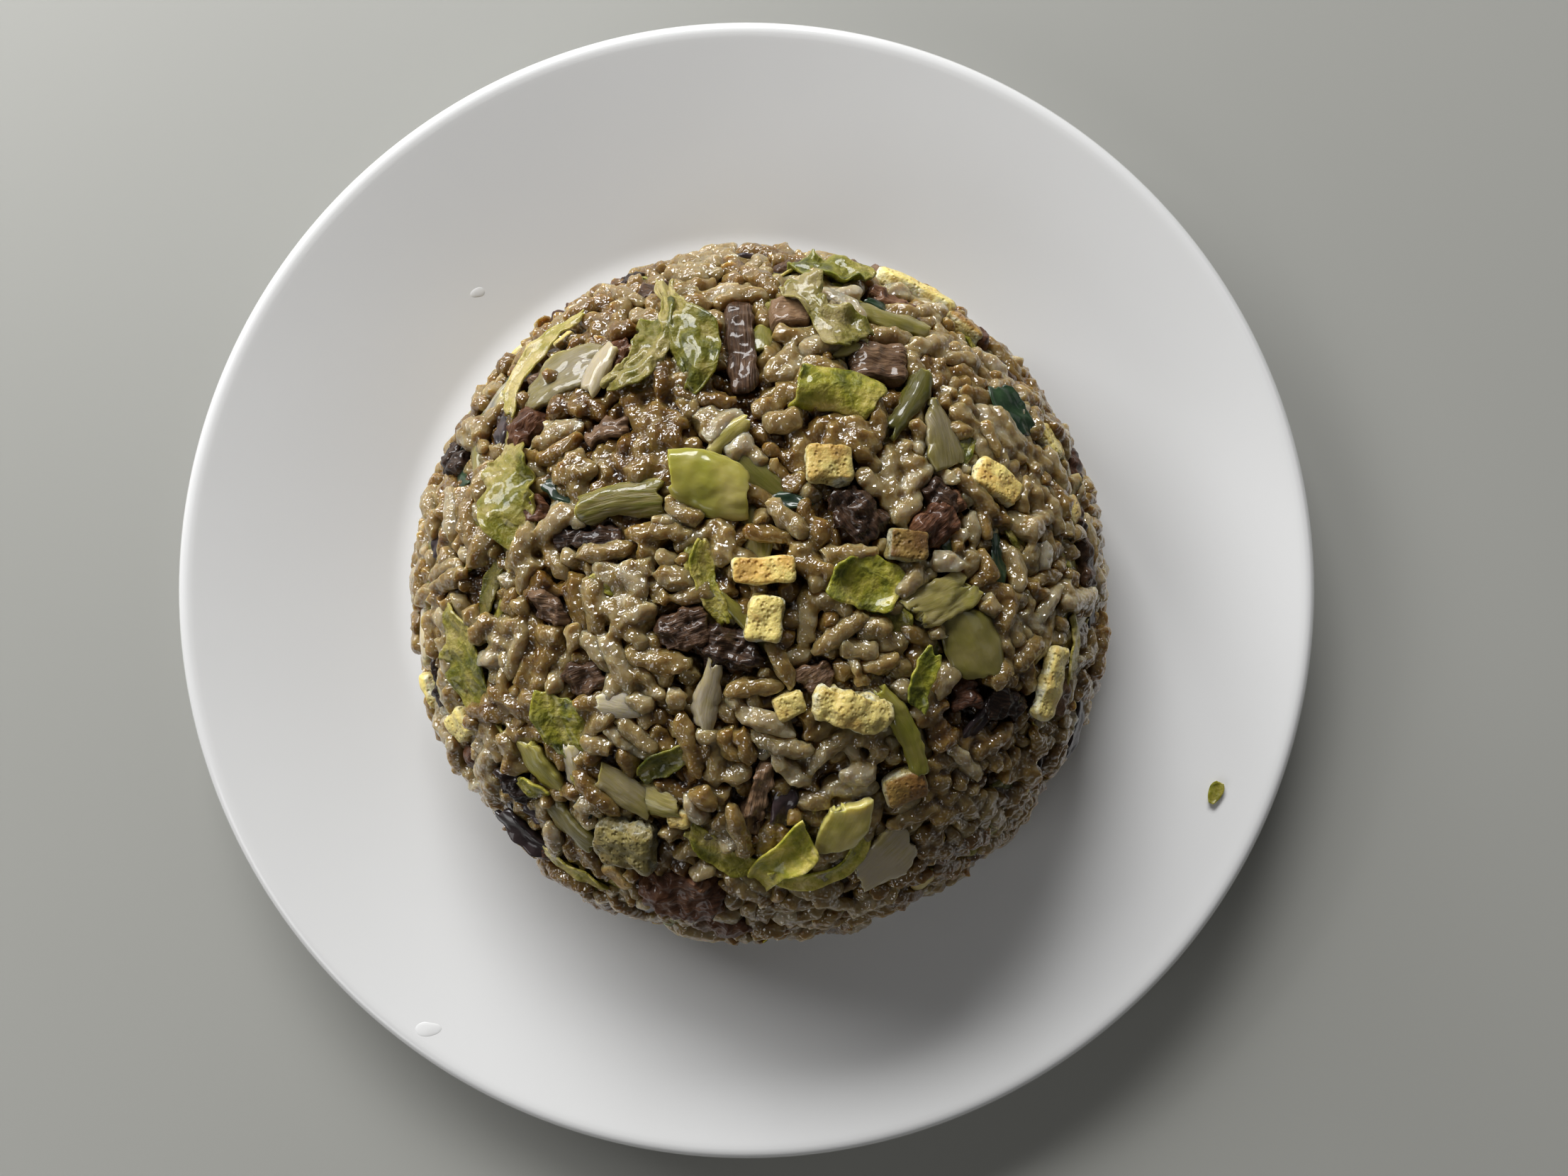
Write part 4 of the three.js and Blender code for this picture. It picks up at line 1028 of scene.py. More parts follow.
def egg_material():
    """Set egg: creamy yellow with holes, and a golden skin that browns in patches."""
    material, tree, shader = new_material(
        "fried_egg",
        0.45,
        Subsurface_Weight=0.35,
        Subsurface_Radius=(1.0, 0.75, 0.3),
        Subsurface_Scale=0.0016,
        Coat_Weight=0.25,
        Coat_Roughness=0.12,
        Specular_IOR_Level=0.3,
    )
    cloud = object_noise(tree, 420, 4)
    inside = ramp(
        tree, cloud, (0.3, (0.58, 0.42, 0.12)), (0.47, (0.72, 0.60, 0.25)), (0.62, (0.83, 0.79, 0.56))
    )
    patches = stretch(tree, object_noise(tree, 240, 4), 0.35, 0.65, -0.3, 0.3)
    browned = math_node(tree, "ADD", attribute(tree, "browned"), patches)
    skin = ramp(
        tree, browned, (0.1, (0.80, 0.65, 0.22)), (0.5, (0.68, 0.44, 0.12)), (1.0, (0.30, 0.15, 0.04))
    )
    mixed = add_node(
        tree, "ShaderNodeMix", {"Factor": attribute(tree, "skin"), 6: inside, 7: skin}, data_type="RGBA"
    )
    tree.links.new(shaded(tree, mixed.outputs[2]), shader.inputs["Base Color"])
    where = add_node(tree, "ShaderNodeTexCoord").outputs["Object"]
    holes = add_node(tree, "ShaderNodeTexVoronoi", {"Vector": where, "Scale": 1100}).outputs["Distance"]
    height = math_node(tree, "ADD", stretch(tree, holes, 0, 0.4), object_noise(tree, 900))
    set_bump(tree, shader, height, 0.8, 0.6)
    return material


egg_finish = egg_material()

# Name, place seen from above, turn, length, width, thickness, how browned its skin is and how light; how
# light is partly the egg's own colour and partly painted light and painted shade.
EGGS = [
    ("egg_cube_centre", (13.2, 18.0), 2, 7.0, 5.0, 4.4, 0.35, 0.85,
     dict(rise=0.8, blunt=8, lumpy=0.6, pits=0.7, crumple=0.2, tilt=-6)),
    ("egg_slab", (3.8, 3), 2, 9.0, 3.8, 3.2, 0.4, 1.1,
     dict(rise=1.8, blunt=9, lumpy=0.45, pits=0.4, bow=0.3)),
    ("egg_cube_yellow", (4, -3.8), 80, 6.4, 5.0, 4.6, 0.0, 0.95,
     dict(rise=0.8, blunt=8, lumpy=0.6, pits=0.7, crumple=0.2)),
    ("egg_cube_tan", (24.2, 6.6), -5, 5.6, 4.2, 3.6, 0.75, 0.45,
     dict(rise=1.4, blunt=8, lumpy=0.6, pits=0.5, crumple=0.2)),
    ("egg_lump", (16.5, -17), -15, 11, 5.4, 4.4, 0.2, 0.85,
     dict(rise=0.8, blunt=5, lumpy=1.1, pits=1.0, crumple=0.5)),
    ("egg_porous", (-17.2, -37.8), -8, 9.6, 7.8, 4.4, 0.05, 0.32,
     dict(rise=0.6, blunt=5, lumpy=1.2, pits=1.2)),
    ("egg_flake_right", (38.6, 16.2), -24, 8.5, 4.8, 2.6, 0.3, 1.1,
     dict(rise=0.9, blunt=5, lumpy=0.6, pits=0.4)),
    ("egg_right", (46.8, -13.8), 76, 11.5, 4, 2.8, 0.1, 0.9,
     dict(rise=1.7, blunt=5, lumpy=0.7, pits=0.6)),
    ("egg_strip_top", (28, 48.4), -14, 14, 3.6, 2.6, 0.05, 1.1,
     dict(rise=1.8, blunt=6, lumpy=0.35, pits=0.3)),
    ("egg_edge_left", (-40, 38.8), 48, 12.5, 4, 2.4, 0.1, 1.0,
     dict(rise=0.6, blunt=6, lumpy=0.35, pits=0.3)),
]

for seed, (name, at, turn, length, width, thick, browned, shade, shape) in enumerate(EGGS):
    chunk = lay_chunk(at, turn, length, width, thick, seed, **shape)
    add_piece(name, chunk, egg_finish, "egg", name, browned=browned, shade=shade)

# Smaller bits: place, turn, length, width, thickness, how browned and how light; how light is partly the
# bit's own colour and partly painted light and painted shade.
EGG_BITS = [
    ((13.5, 57.5), 10, 7, 3, 2.4, 0.4, 1.0),
    ((36, 43), -30, 7, 5, 3, 0.9, 0.9),
    ((33, 51), -30, 6, 3, 1.5, 0.3, 1.0),
    ((49, 24), -60, 6, 4, 2.5, 0.1, 0.9),
    ((7.5, -16.5), 20, 4.6, 3.6, 3, 0.1, 0.8),
    ((-52, -16.5), 80, 6, 4, 3, 0.2, 1.1),
    ((-45, -21.5), 30, 7, 5, 2.4, 0.0, 1.0),
    ((-19.5, -45), -75, 6, 3, 1.8, 0.7, 0.9),
    ((40, 46), -45, 4, 2.4, 1.6, 0.2, 1.0),
    ((-28.5, 40), 60, 4, 2.4, 1.6, 0.3, 1.0),
    ((24.5, -29), 15, 6.5, 5, 3, 0.95, 0.8),
    ((-9, -34), 10, 3.6, 2.4, 2, 0.3, 0.8),
]

bits = []
for seed, (at, turn, length, width, thick, browned, shade) in enumerate(EGG_BITS):
    chunk = lay_chunk(
        at, turn, length, width, thick, seed + 40, rise=0.6, blunt=5, lumpy=0.6, pits=0.5, fine=1.8
    )
    bits.append(with_tone(chunk, browned=browned, shade=shade))
for seed, (way, turn) in enumerate(low_scraps(9, 6, 30)):
    length, width = random.uniform(4.5, 8), random.uniform(3, 4.5)
    chunk = lay_chunk(way, turn, length, width, 2.2, seed + 60, rise=0.4, lumpy=0.6, pits=0.4, fine=1.8)
    bits.append(with_tone(chunk, browned=random.uniform(0, 0.7), shade=0.9))
add_piece("egg_bits", joined(bits), egg_finish, "egg")

# ------------------------------------------------------------------------------------------------
# Mushroom
# Sliced and diced mushroom, browned and shrunk: dark brown to grey-purple, with fine threads along
# the slice and a wet shine.
# ------------------------------------------------------------------------------------------------


def threaded_material(name, dark, middle, light, shine):
    """Browned flesh with threads that run along the piece."""
    material, tree, shader = new_material(
        name,
        0.45,
        Subsurface_Weight=0.15,
        Subsurface_Radius=(1.0, 0.5, 0.3),
        Subsurface_Scale=0.0012,
        Coat_Weight=shine,
        Coat_Roughness=0.07,
        Specular_IOR_Level=0.15,
    )
    thread = threads_along(tree, 2.4, 1.6, 3)
    threads = math_node(tree, "MULTIPLY", thread, 0.6)
    patches = math_node(tree, "MULTIPLY", object_noise(tree, 280, 3), 0.5)
    tone = math_node(tree, "ADD", math_node(tree, "ADD", threads, patches), attribute(tree, "pale"))
    tree.links.new(ramp(tree, tone, (0.3, dark), (0.55, middle), (0.8, light)), shader.inputs["Base Color"])
    height = math_node(tree, "ADD", thread, math_node(tree, "MULTIPLY", object_noise(tree, 750, 3), 0.5))
    set_bump(tree, shader, height, 0.8, 0.6)
    return material


mushroom_finish = threaded_material(
    "browned_mushroom", (0.018, 0.009, 0.006), (0.085, 0.045, 0.024), (0.24, 0.145, 0.08), 0.5
)

# Name, place seen from above, turn, length, width, thickness and how pale it is.
MUSHROOMS = [
    ("mushroom_strip", (0.2, 37.2), -87, 17, 4.6, 2.6, -0.02,
     dict(rise=0.2, blunt=4, lumpy=0.7, crumple=0.5)),
    ("mushroom_purple", (21, 34.6), 5, 8.6, 7, 2.6, 0.08, dict(rise=0.2, blunt=5, lumpy=0.7, crumple=0.6)),
    ("mushroom_dark", (17.2, 11), -50, 8.4, 6.4, 3, -0.12, dict(rise=0.1, blunt=4, lumpy=1.8, crumple=1.8)),
    ("mushroom_black", (-1.6, -8.6), -14, 9.6, 5.4, 2.8, -0.2,
     dict(rise=0.1, blunt=4, lumpy=1.8, crumple=1.8)),
    ("mushroom_cube", (7.6, 42), 5, 5.8, 5, 3.4, 0.4, dict(rise=0.2, blunt=6, lumpy=0.5, crumple=0.5)),
]

for seed, (name, at, turn, length, width, thick, pale, shape) in enumerate(MUSHROOMS):
    chunk = lay_chunk(at, turn, length, width, thick, seed + 20, **shape)
    add_piece(name, chunk, mushroom_finish, "mushroom", name, pale=pale)


def threaded_bits(table, first_seed, low_count, pales):
    """Small lumps from a table of places, sizes and tones, and more on the heap's steep sides."""
    bits = []
    for seed, (at, turn, length, width, thick, pale) in enumerate(table):
        chunk = lay_chunk(
            at, turn, length, width, thick, seed + first_seed, rise=0.1, blunt=4, lumpy=1.3, crumple=1.5
        )
        bits.append(with_tone(chunk, pale=pale))
    for seed, (way, turn) in enumerate(low_scraps(low_count, 5, 32)):
        length, width = random.uniform(4, 9), random.uniform(2.6, 4.5)
        chunk = lay_chunk(
            way, turn, length, width, 2.4, seed + first_seed + 30, rise=0.1, blunt=4, lumpy=1.3, crumple=1.2
        )
        bits.append(with_tone(chunk, pale=random.uniform(*pales)))
    return joined(bits)


# Smaller bits: place, turn, length, width, thickness and how pale.
MUSHROOM_BITS = [
    ((-3, 57), 15, 8, 3, 2.5, 0.0),
    ((22.5, 52.5), 0, 6, 5, 3, 0.12),
    ((-8, -5.5), 20, 6, 6, 3, -0.05),
    ((40, -17.5), -20, 8, 4, 2.6, -0.25),
    ((-35.5, -30), 10, 5.5, 5, 3, -0.3),
    ((-23, -13), 20, 6, 4, 2.5, -0.05),
    ((-28, -3), -10, 5.4, 4, 2.5, 0.05),
    ((3, -31), 80, 12, 3, 2.4, 0.2),
    ((-49, 22), 60, 5, 3, 2.4, -0.2),
    ((-22, 8), 5, 10, 2.4, 2, -0.15),
    ((30, 14), -40, 6, 4, 2.4, -0.1),
    ((49.5, -16.5), 60, 5, 4, 3, 0.15),
    ((11.5, -12.5), 30, 5, 4, 2.6, 0.05),
    ((-20, 24), 15, 7, 3.4, 2.4, 0.12),
    ((-50, -14), 80, 8, 3, 2.5, -0.2),
    ((8, 52), 20, 6, 3, 2.4, 0.0),
    ((-14, 47), 20, 5, 3, 2.2, -0.05),
    ((54, 12), 90, 6, 3, 2.4, -0.15),
    ((43, 36), -45, 4, 3, 2.2, 0.0),
]
add_piece(
    "mushroom_bits", threaded_bits(MUSHROOM_BITS, 400, 14, (-0.25, 0.15)), mushroom_finish, "mushroom"
)

# ------------------------------------------------------------------------------------------------
# Meat
# Small pieces of browned meat, reddish to purple-brown, moist and a little fibrous.
# ------------------------------------------------------------------------------------------------

meat_finish = threaded_material(
    "browned_meat", (0.035, 0.014, 0.008), (0.12, 0.05, 0.024), (0.27, 0.14, 0.07), 0.35
)

# Name, place seen from above, turn, length, width, thickness and how pale it is.
MEATS = [
    ("meat_large", (-9.2, -47.8), 18, 13, 9.4, 3.4, 0.0, dict(rise=0.3, blunt=4, lumpy=1.4, crumple=1.2)),
    ("meat_red", (29, 9.8), 40, 6.4, 5.4, 3.2, -0.05, dict(rise=0.4, blunt=4, lumpy=1.2, crumple=1.2)),
]

for seed, (name, at, turn, length, width, thick, pale, shape) in enumerate(MEATS):
    chunk = lay_chunk(at, turn, length, width, thick, seed + 30, **shape)
    add_piece(name, chunk, meat_finish, "meat", name, pale=pale)

# Smaller bits: place, turn, length, width, thickness and how pale.
MEAT_BITS = [
    ((-33, 25), 50, 6.5, 5, 2.6, -0.05),
    ((-2.5, -54), 10, 7, 5, 3, 0.0),
    ((-18.7, 35.5), 60, 6, 3.5, 2.4, 0.0),
    ((-31, 12), 0, 5, 4, 2.2, -0.1),
    ((34, -15.5), 10, 5, 4, 2.4, -0.1),
    ((31, 12.5), 20, 5, 4, 2.4, 0.05),
]
add_piece("meat_bits", threaded_bits(MEAT_BITS, 450, 10, (-0.15, 0.1)), meat_finish, "meat")

# ------------------------------------------------------------------------------------------------
# Wood ear
# Black wood ear fungus: thin, curled, smooth and shiny. Its browner edge is not drawn.
# ------------------------------------------------------------------------------------------------

EAR_THICKNESS = 1.0


def wood_ear_material():
    """Almost black, with a violet-brown bloom and a tight shine."""
    material, tree, shader = new_material(
        "black_wood_ear", 0.4, Coat_Weight=0.7, Coat_Roughness=0.08, Specular_IOR_Level=0.15
    )
    cloud = object_noise(tree, 260, 3)
    tree.links.new(
        ramp(tree, cloud, (0.3, (0.010, 0.007, 0.008)), (0.75, (0.07, 0.045, 0.045))),
        shader.inputs["Base Color"],
    )
    set_bump(tree, shader, object_noise(tree, 500, 3), 0.4, 0.5)
    return material


wood_ear_finish = wood_ear_material()

# Name, place seen from above, turn, length and width.
WOOD_EARS = [
    ("ear_left_bottom", (-34.3, -38.5), -52, 10, 5.4,
     dict(rise=(1.9, 1.9, 2.0), curl=(60, 90, 60), ruffle=0.8)),
    ("ear_right", (54, -22.5), -62, 10.5, 5, dict(rise=(2.0, 2.2, 2.0), curl=(50, 70, 50), ruffle=0.8)),
]

for seed, (name, at, turn, length, width, shape) in enumerate(WOOD_EARS):
    ear = lay_sheet(at, turn, length, width, EAR_THICKNESS, seed + 110, **shape)
    add_piece(name, ear, wood_ear_finish, "wood_ear", name)

# Smaller bits: place, turn, length and width.
EAR_BITS = [
    ((56, -14), 80, 5.5, 5),
    ((6.5, -32), 80, 7, 3.5),
    ((2, 55), 30, 6, 4),
    ((-37.5, 25.5), -60, 8, 2.6),
    ((-48.5, 7.5), 70, 4, 3),
    ((52, -27), -60, 6, 3),
    ((-32, -35), -20, 5, 3),
    ((36, -20), 60, 7, 3),
]

bits = [
    lay_sheet(at, turn, length, width, EAR_THICKNESS, seed + 130, rise=(0.7, 0.9, 0.7), curl=(60, 80, 60),
              ruffle=0.8, steps=(16, 9))
    for seed, (at, turn, length, width) in enumerate(EAR_BITS)
]
bits += [
    lay_sheet(way, turn, 6.5, 3.6, EAR_THICKNESS, seed + 140, rise=(0.5, 0.8, 0.5), curl=(50, 80, 50),
              steps=(16, 9))
    for seed, (way, turn) in enumerate(low_scraps(9, 5, 30))
]
add_piece("wood_ear_bits", joined(bits), wood_ear_finish, "wood_ear")

# ------------------------------------------------------------------------------------------------
# Rice
# Cooked grains 8 to 11 mm long where they are whole, swollen and a little bent, glossed with oil and
# stained by the sauce from near white to brown. Their colour is also made darker in the seams, in the
# gaps between grains and deeper in the heap, as painted shade. Each starts as a Geometry Nodes instance
# on a point of the settled heap. Those that cling are grown into clumps, and a few lie loose on top.
# ------------------------------------------------------------------------------------------------

GRAIN_LENGTH = 10
GRAIN_WIDTH = 3.35
GRAIN_COUNT = 3700
WHOLE_SHARE = 0.5  # of the grains are whole
CRUMB_SHARE = 0.14  # are crumbs, and the rest are broken
GRAIN_BLUNTNESS = 2.9
GRAIN_UNEVENNESS = 1.7
GRAIN_LUMP_SIZE = 1.8

RICE_DEPTH = 5.8  # the grains lie this deep over the heart
BALLS = 4  # a grain settles as a row of balls
FIRM_SHARE = 0.76  # how much of its width a grain keeps to itself; the rest presses into others
SETTLING_ROUNDS = 120

OUTER_DEPTH = 3.2  # grains nearer the skin than this belong to the clumps, and others to the heart
LOOSE_DEPTH = 1.1  # of the grains nearer the skin than this, a share lies loose
LOOSE_SHARE = 0.2
PALE_TONE = 0.33  # grains under this tone are in the pale clumps

CLING = 0.16  # grains swell by this much, grow together where they touch, and draw in by half of it
SKIN_VOXEL = 0.38
SKIN_TRIANGLES = 196000  # in each clump piece
HIDDEN_DEPTH = 4.0  # what lies deeper can't be seen, and is thinned out
HIDDEN_THINNING = 0.002
RAGGED = 0.48  # how far the starch frays the grains, in frays of this size
RAG_SIZE = 1.6
SEAM_WIDTH = 0.7  # the skin is made darker so near the seam between two grains: partly sauce, partly painted shade

# Where the rice is made browner, or paler: place seen from above, reach and strength.
TONED_PLACES = [
    (-8, -8, 26, 0.1),
    (26, -32, 22, 0.16),
    (-24, -42, 16, 0.08),
    (5, -27, 17, -0.16),
    (-20, 36, 22, 0.2),
    (-26, 11, 4.5, -0.34),
    (20, -24, 5.5, -0.3),
    (-16, -5, 4, -0.16),
    (36, 10, 5, -0.12),
    (-2, 22, 5, -0.12),
]


def near_pairs(points, reach):
    """Pairs of points closer than reach, found through a grid of cells of that size."""
    cell = np.floor(points / reach).astype(np.int64)
    cell -= cell.min(0) - 1
    span = cell.max(0) + 2
    key = (cell[:, 0] * span[1] + cell[:, 1]) * span[2] + cell[:, 2]
    order = np.argsort(key, kind="stable")
    ranked = key[order]
    firsts, seconds = [], []
    shifts = [(x, y, z) for x in (-1, 0, 1) for y in (-1, 0, 1) for z in (-1, 0, 1)]
    for x, y, z in shifts[13:]:
        wanted = ranked + (x * span[1] + y) * span[2] + z
        start = np.searchsorted(ranked, wanted, "left")
        stop = np.searchsorted(ranked, wanted, "right")
        if (x, y, z) == (0, 0, 0):
            start = np.arange(len(ranked)) + 1
        count = np.maximum(stop - start, 0)
        first = np.repeat(np.arange(len(ranked)), count)
        rank = np.arange(count.sum()) - np.repeat(np.cumsum(count) - count, count)
        firsts.append(order[first])
        seconds.append(order[np.repeat(start, count) + rank])
    first, second = np.concatenate(firsts), np.concatenate(seconds)
    near = ((points[first] - points[second]) ** 2).sum(1) < reach * reach
    return first[near], second[near]


def scatter_grains():
    """Where the grains start: spread through the rice's depth, each pointing its own way."""
    directions = random.normal(size=(GRAIN_COUNT * 4, 3))
    directions[:, 2] = np.abs(directions[:, 2])
    directions = unit(directions)
    surface, normal = on_dome(directions)
    # A direction draws too few grains where the dome is far from its foot or slanted to it.
    reach = np.linalg.norm(surface, axis=1)
    area = reach**2 / (directions * normal).sum(1)
    keep = random.random(len(area)) < area / area.max()
    surface, normal = surface[keep][:GRAIN_COUNT], normal[keep][:GRAIN_COUNT]
    depth = RICE_DEPTH * random.random(len(surface)) ** 0.9
    centre = surface - normal * depth[:, None]
    ahead = random.normal(size=centre.shape)
    ahead = unit(ahead - 0.6 * (ahead * normal).sum(1, keepdims=True) * normal)
    return centre, ahead


def depth_in_heap(points):
    """How deep points, measured from the heap's foot, lie under the heap's skin, and the normals."""
    share = np.maximum(dome_share(points), 1e-6)
    surface = points / share[..., None]
    normal = dome_normal(surface)
    return (1 - share) * (surface * normal).sum(-1), normal


def settle(centre, ahead, half, radius, proud, sunk, still, still_radius):
    """Pushes the grains apart, and away from the food, the heap's skin and the plate.

    proud is how far each grain may stand out of the heap, sunk how deep its hollow is, and still
    the balls of food, which don't move.
    """
    reach = np.linspace(-1, 1, BALLS) * (half - radius)[:, None]
    spread = (reach**2).sum(1)
    owner = np.concatenate([np.repeat(np.arange(len(centre)), BALLS), np.full(len(still), -1)])
    size = np.concatenate([np.repeat(radius, BALLS), still_radius])
    count = len(centre) * BALLS
    for turn in range(SETTLING_ROUNDS):
        balls = (centre[:, None] + ahead[:, None] * reach[..., None]).reshape(-1, 3)
        points = np.concatenate([balls, still])
        first, second = near_pairs(points, 2 * size.max())
        gap = points[first] - points[second]
        far = np.maximum(np.linalg.norm(gap, axis=1), 1e-6)
        overlap = size[first] + size[second] - far
        touching = (overlap > 0) & (owner[first] != owner[second])
        first, second, gap = first[touching], second[touching], gap[touching]
        push = gap * (0.5 * overlap[touching] / far[touching])[:, None]
        push[(owner[first] < 0) | (owner[second] < 0)] *= 2
        total = lambda owners, k: np.bincount(owners, push[:, k], len(points))
        moves = np.stack([total(first, k) - total(second, k) for k in range(3)], 1)[:count]
        depth, normal = depth_in_heap(balls)
        too_high = np.repeat(radius - proud + sunk, BALLS) - depth
        moves -= normal * np.maximum(too_high, 0)[:, None]
        too_deep = depth - RICE_DEPTH - np.repeat(sunk, BALLS)
        moves += normal * (0.5 * np.maximum(too_deep, 0))[:, None]
        moves[:, 2] += np.maximum(np.repeat(radius, BALLS) - balls[:, 2], 0)
        moves = moves.reshape(-1, BALLS, 3)
        shift = moves.mean(1)
        lever = (moves * reach[..., None]).sum(1) / spread[:, None]
        ease = 1.5 if turn < SETTLING_ROUNDS * 0.8 else 0.9
        centre = centre + ease * shift
        ahead = unit(ahead + 0.8 * (lever - (lever * ahead).sum(1, keepdims=True) * ahead))
    return centre, ahead


def rice_tree():
    """Lays a swollen grain on every point, turned, sized, bent and made uneven by its values."""
    tree = new_tree(
        "laid_grains",
        [
            ("Sides", "NodeSocketInt"),
            ("Rings", "NodeSocketInt"),
            ("Bluntness", "NodeSocketFloat"),
            ("Unevenness", "NodeSocketFloat"),
            ("Lump size", "NodeSocketFloat"),
            ("Material", "NodeSocketMaterial"),
        ],
    )
    given = add_node(tree, "NodeGroupInput").outputs
    named = lambda name, kind: add_node(
        tree, "GeometryNodeInputNamedAttribute", {"Name": name}, data_type=kind
    ).outputs["Attribute"]
    position = add_node(tree, "GeometryNodeInputPosition").outputs[0]
    ball = add_node(
        tree, "GeometryNodeMeshUVSphere", {"Segments": given["Sides"], "Rings": given["Rings"], "Radius": 1.0}
    ).outputs["Mesh"]
    parts = add_node(tree, "ShaderNodeSeparateXYZ", {0: position}).outputs
    out = math_node(tree, "ABSOLUTE", parts["Z"])
    full = math_node(tree, "SUBTRACT", 1.0, math_node(tree, "POWER", out, given["Bluntness"]))
    round_ball = math_node(tree, "SUBTRACT", 1.0001, math_node(tree, "MULTIPLY", out, out))
    wide = math_node(tree, "SQRT", math_node(tree, "DIVIDE", full, round_ball))
    blunt = add_node(
        tree,
        "ShaderNodeCombineXYZ",
        {
            "X": math_node(tree, "MULTIPLY", parts["X"], wide),
            "Y": math_node(tree, "MULTIPLY", parts["Y"], wide),
            "Z": parts["Z"],
        },
    ).outputs[0]
    grain = add_node(tree, "GeometryNodeSetPosition", {"Geometry": ball, "Position": blunt}).outputs[0]
    grain = add_node(
        tree,
        "GeometryNodeStoreNamedAttribute",
        {"Geometry": grain, "Name": "local", "Value": position},
        data_type="FLOAT_VECTOR",
        domain="POINT",
    ).outputs[0]
    pointed = add_node(
        tree, "FunctionNodeAlignRotationToVector", {"Vector": named("ahead", "FLOAT_VECTOR")}, axis="Z"
    ).outputs[0]
    turned = add_node(
        tree,
        "FunctionNodeAlignRotationToVector",
        {"Rotation": pointed, "Vector": named("up", "FLOAT_VECTOR")},
        axis="X",
        pivot_axis="Z",
    ).outputs[0]
    laid = add_node(
        tree,
        "GeometryNodeInstanceOnPoints",
        {
            "Points": given["Geometry"],
            "Instance": grain,
            "Rotation": turned,
            "Scale": named("size", "FLOAT_VECTOR"),
        },
    ).outputs[0]
    real = add_node(tree, "GeometryNodeRealizeInstances", {"Geometry": laid}).outputs[0]
    local = named("local", "FLOAT_VECTOR")
    along = add_node(tree, "ShaderNodeSeparateXYZ", {0: local}).outputs["Z"]
    cut_back = math_node(
        tree,
        "MULTIPLY",
        math_node(tree, "MINIMUM", math_node(tree, "SUBTRACT", named("cut", "FLOAT"), along), 0.0),
        named("half", "FLOAT"),
    )
    cut_off = vector_math(tree, "SCALE", named("ahead", "FLOAT_VECTOR"), scale=cut_back)
    sag = math_node(
        tree,
        "MULTIPLY",
        math_node(tree, "SUBTRACT", 0.35, math_node(tree, "MULTIPLY", along, along)),
        named("bend", "FLOAT"),
    )
    bent = vector_math(tree, "SCALE", named("up", "FLOAT_VECTOR"), scale=sag)
    where = vector_math(tree, "SCALE", position, scale=math_node(tree, "DIVIDE", 1.0, given["Lump size"]))
    lumps = add_node(
        tree, "ShaderNodeTexNoise", {"Vector": where, "Scale": 1.0, "Detail": 1.0}
    ).outputs["Color"]
    centred = vector_math(tree, "SUBTRACT", lumps, (0.5, 0.5, 0.5))
    uneven = vector_math(tree, "SCALE", centred, scale=given["Unevenness"])
    moved = vector_math(tree, "ADD", vector_math(tree, "ADD", bent, cut_off), uneven)
    shaped = add_node(tree, "GeometryNodeSetPosition", {"Geometry": real, "Offset": moved}).outputs[0]
    smooth = add_node(tree, "GeometryNodeSetShadeSmooth", {"Geometry": shaped}).outputs[0]
    finished = add_node(
        tree, "GeometryNodeSetMaterial", {"Geometry": smooth, "Material": given["Material"]}
    ).outputs[0]
    add_node(tree, "NodeGroupOutput", {"Geometry": finished})
    return tree


def rice_material():
    """Swollen starch under a film of oil: light sinks in a little, sauce stains it in patches, and its tone
    also carries painted shade from the seams and gaps.
    """
    material, tree, shader = new_material(
        "oiled_rice",
        0.45,
        Subsurface_Weight=0.9,
        Subsurface_Radius=(1.0, 0.7, 0.32),
        Subsurface_Scale=0.005,
        Coat_Weight=1.0,
        Coat_Roughness=0.05,
        Coat_IOR=1.75,
        Specular_IOR_Level=0.1,
    )
    rice_tone = stretch(tree, object_noise(tree, 260, 2), 0.3, 0.7, -0.07, 0.07)
    speck = stretch(tree, object_noise(tree, 800, 2), 0.35, 0.65, -0.05, 0.05)
    tone = math_node(tree, "ADD", attribute(tree, "tone"), math_node(tree, "ADD", rice_tone, speck))
    colour = ramp(
        tree,
        tone,
        (0.0, (0.42, 0.36, 0.25)),
        (0.25, (0.275, 0.205, 0.09)),
        (0.45, (0.195, 0.122, 0.031)),
        (0.65, (0.13, 0.067, 0.011)),
        (0.85, (0.075, 0.031, 0.003)),
        (1.0, (0.035, 0.012, 0.001)),
    )
    tree.links.new(colour, shader.inputs["Base Color"])
    where = add_node(tree, "ShaderNodeTexCoord").outputs["Object"]
    facets = add_node(tree, "ShaderNodeTexVoronoi", {"Vector": where, "Scale": 700}).outputs["Distance"]
    height = math_node(
        tree, "ADD", object_noise(tree, 900, 3), math_node(tree, "MULTIPLY", facets, -0.5)
    )
    set_bump(tree, shader, height, 0.38, 0.5)
    set_bump(tree, shader, object_noise(tree, 900, 1), 1.0, 0.9, "Coat Normal")
    return material


def heap_waves(points):
    """How far the whole heap's skin swells or sinks at points, in mm."""
    return field(points, 11, 11)


rice_finish = rice_material()
grain_tree = rice_tree()

centre, ahead = scatter_grains()
count = len(centre)
kind = random.random(count)
whole = kind < WHOLE_SHARE
crumbs = kind > 1 - CRUMB_SHARE
share = np.where(whole, random.uniform(0.8, 1.1, count), random.uniform(0.5, 0.8, count))
share = np.where(crumbs, random.uniform(0.3, 0.45, count), share)
half = GRAIN_LENGTH / 2 * share
radius = GRAIN_WIDTH / 2 * random.uniform(0.85, 1.15, count) * np.where(crumbs, 0.85, 1)
proud = 0.2 + heap_waves(centre) + random.uniform(-0.6, 0.6, count)
sunk = hollow_depth(centre)
cut = np.where(whole, 1, random.uniform(0.45, 0.95, count))
food_balls = np.concatenate([balls for balls, _ in bedded])
food_radius = np.concatenate([radii for _, radii in bedded])
centre, ahead = settle(centre, ahead, half, radius * FIRM_SHARE, proud, sunk, food_balls, food_radius)

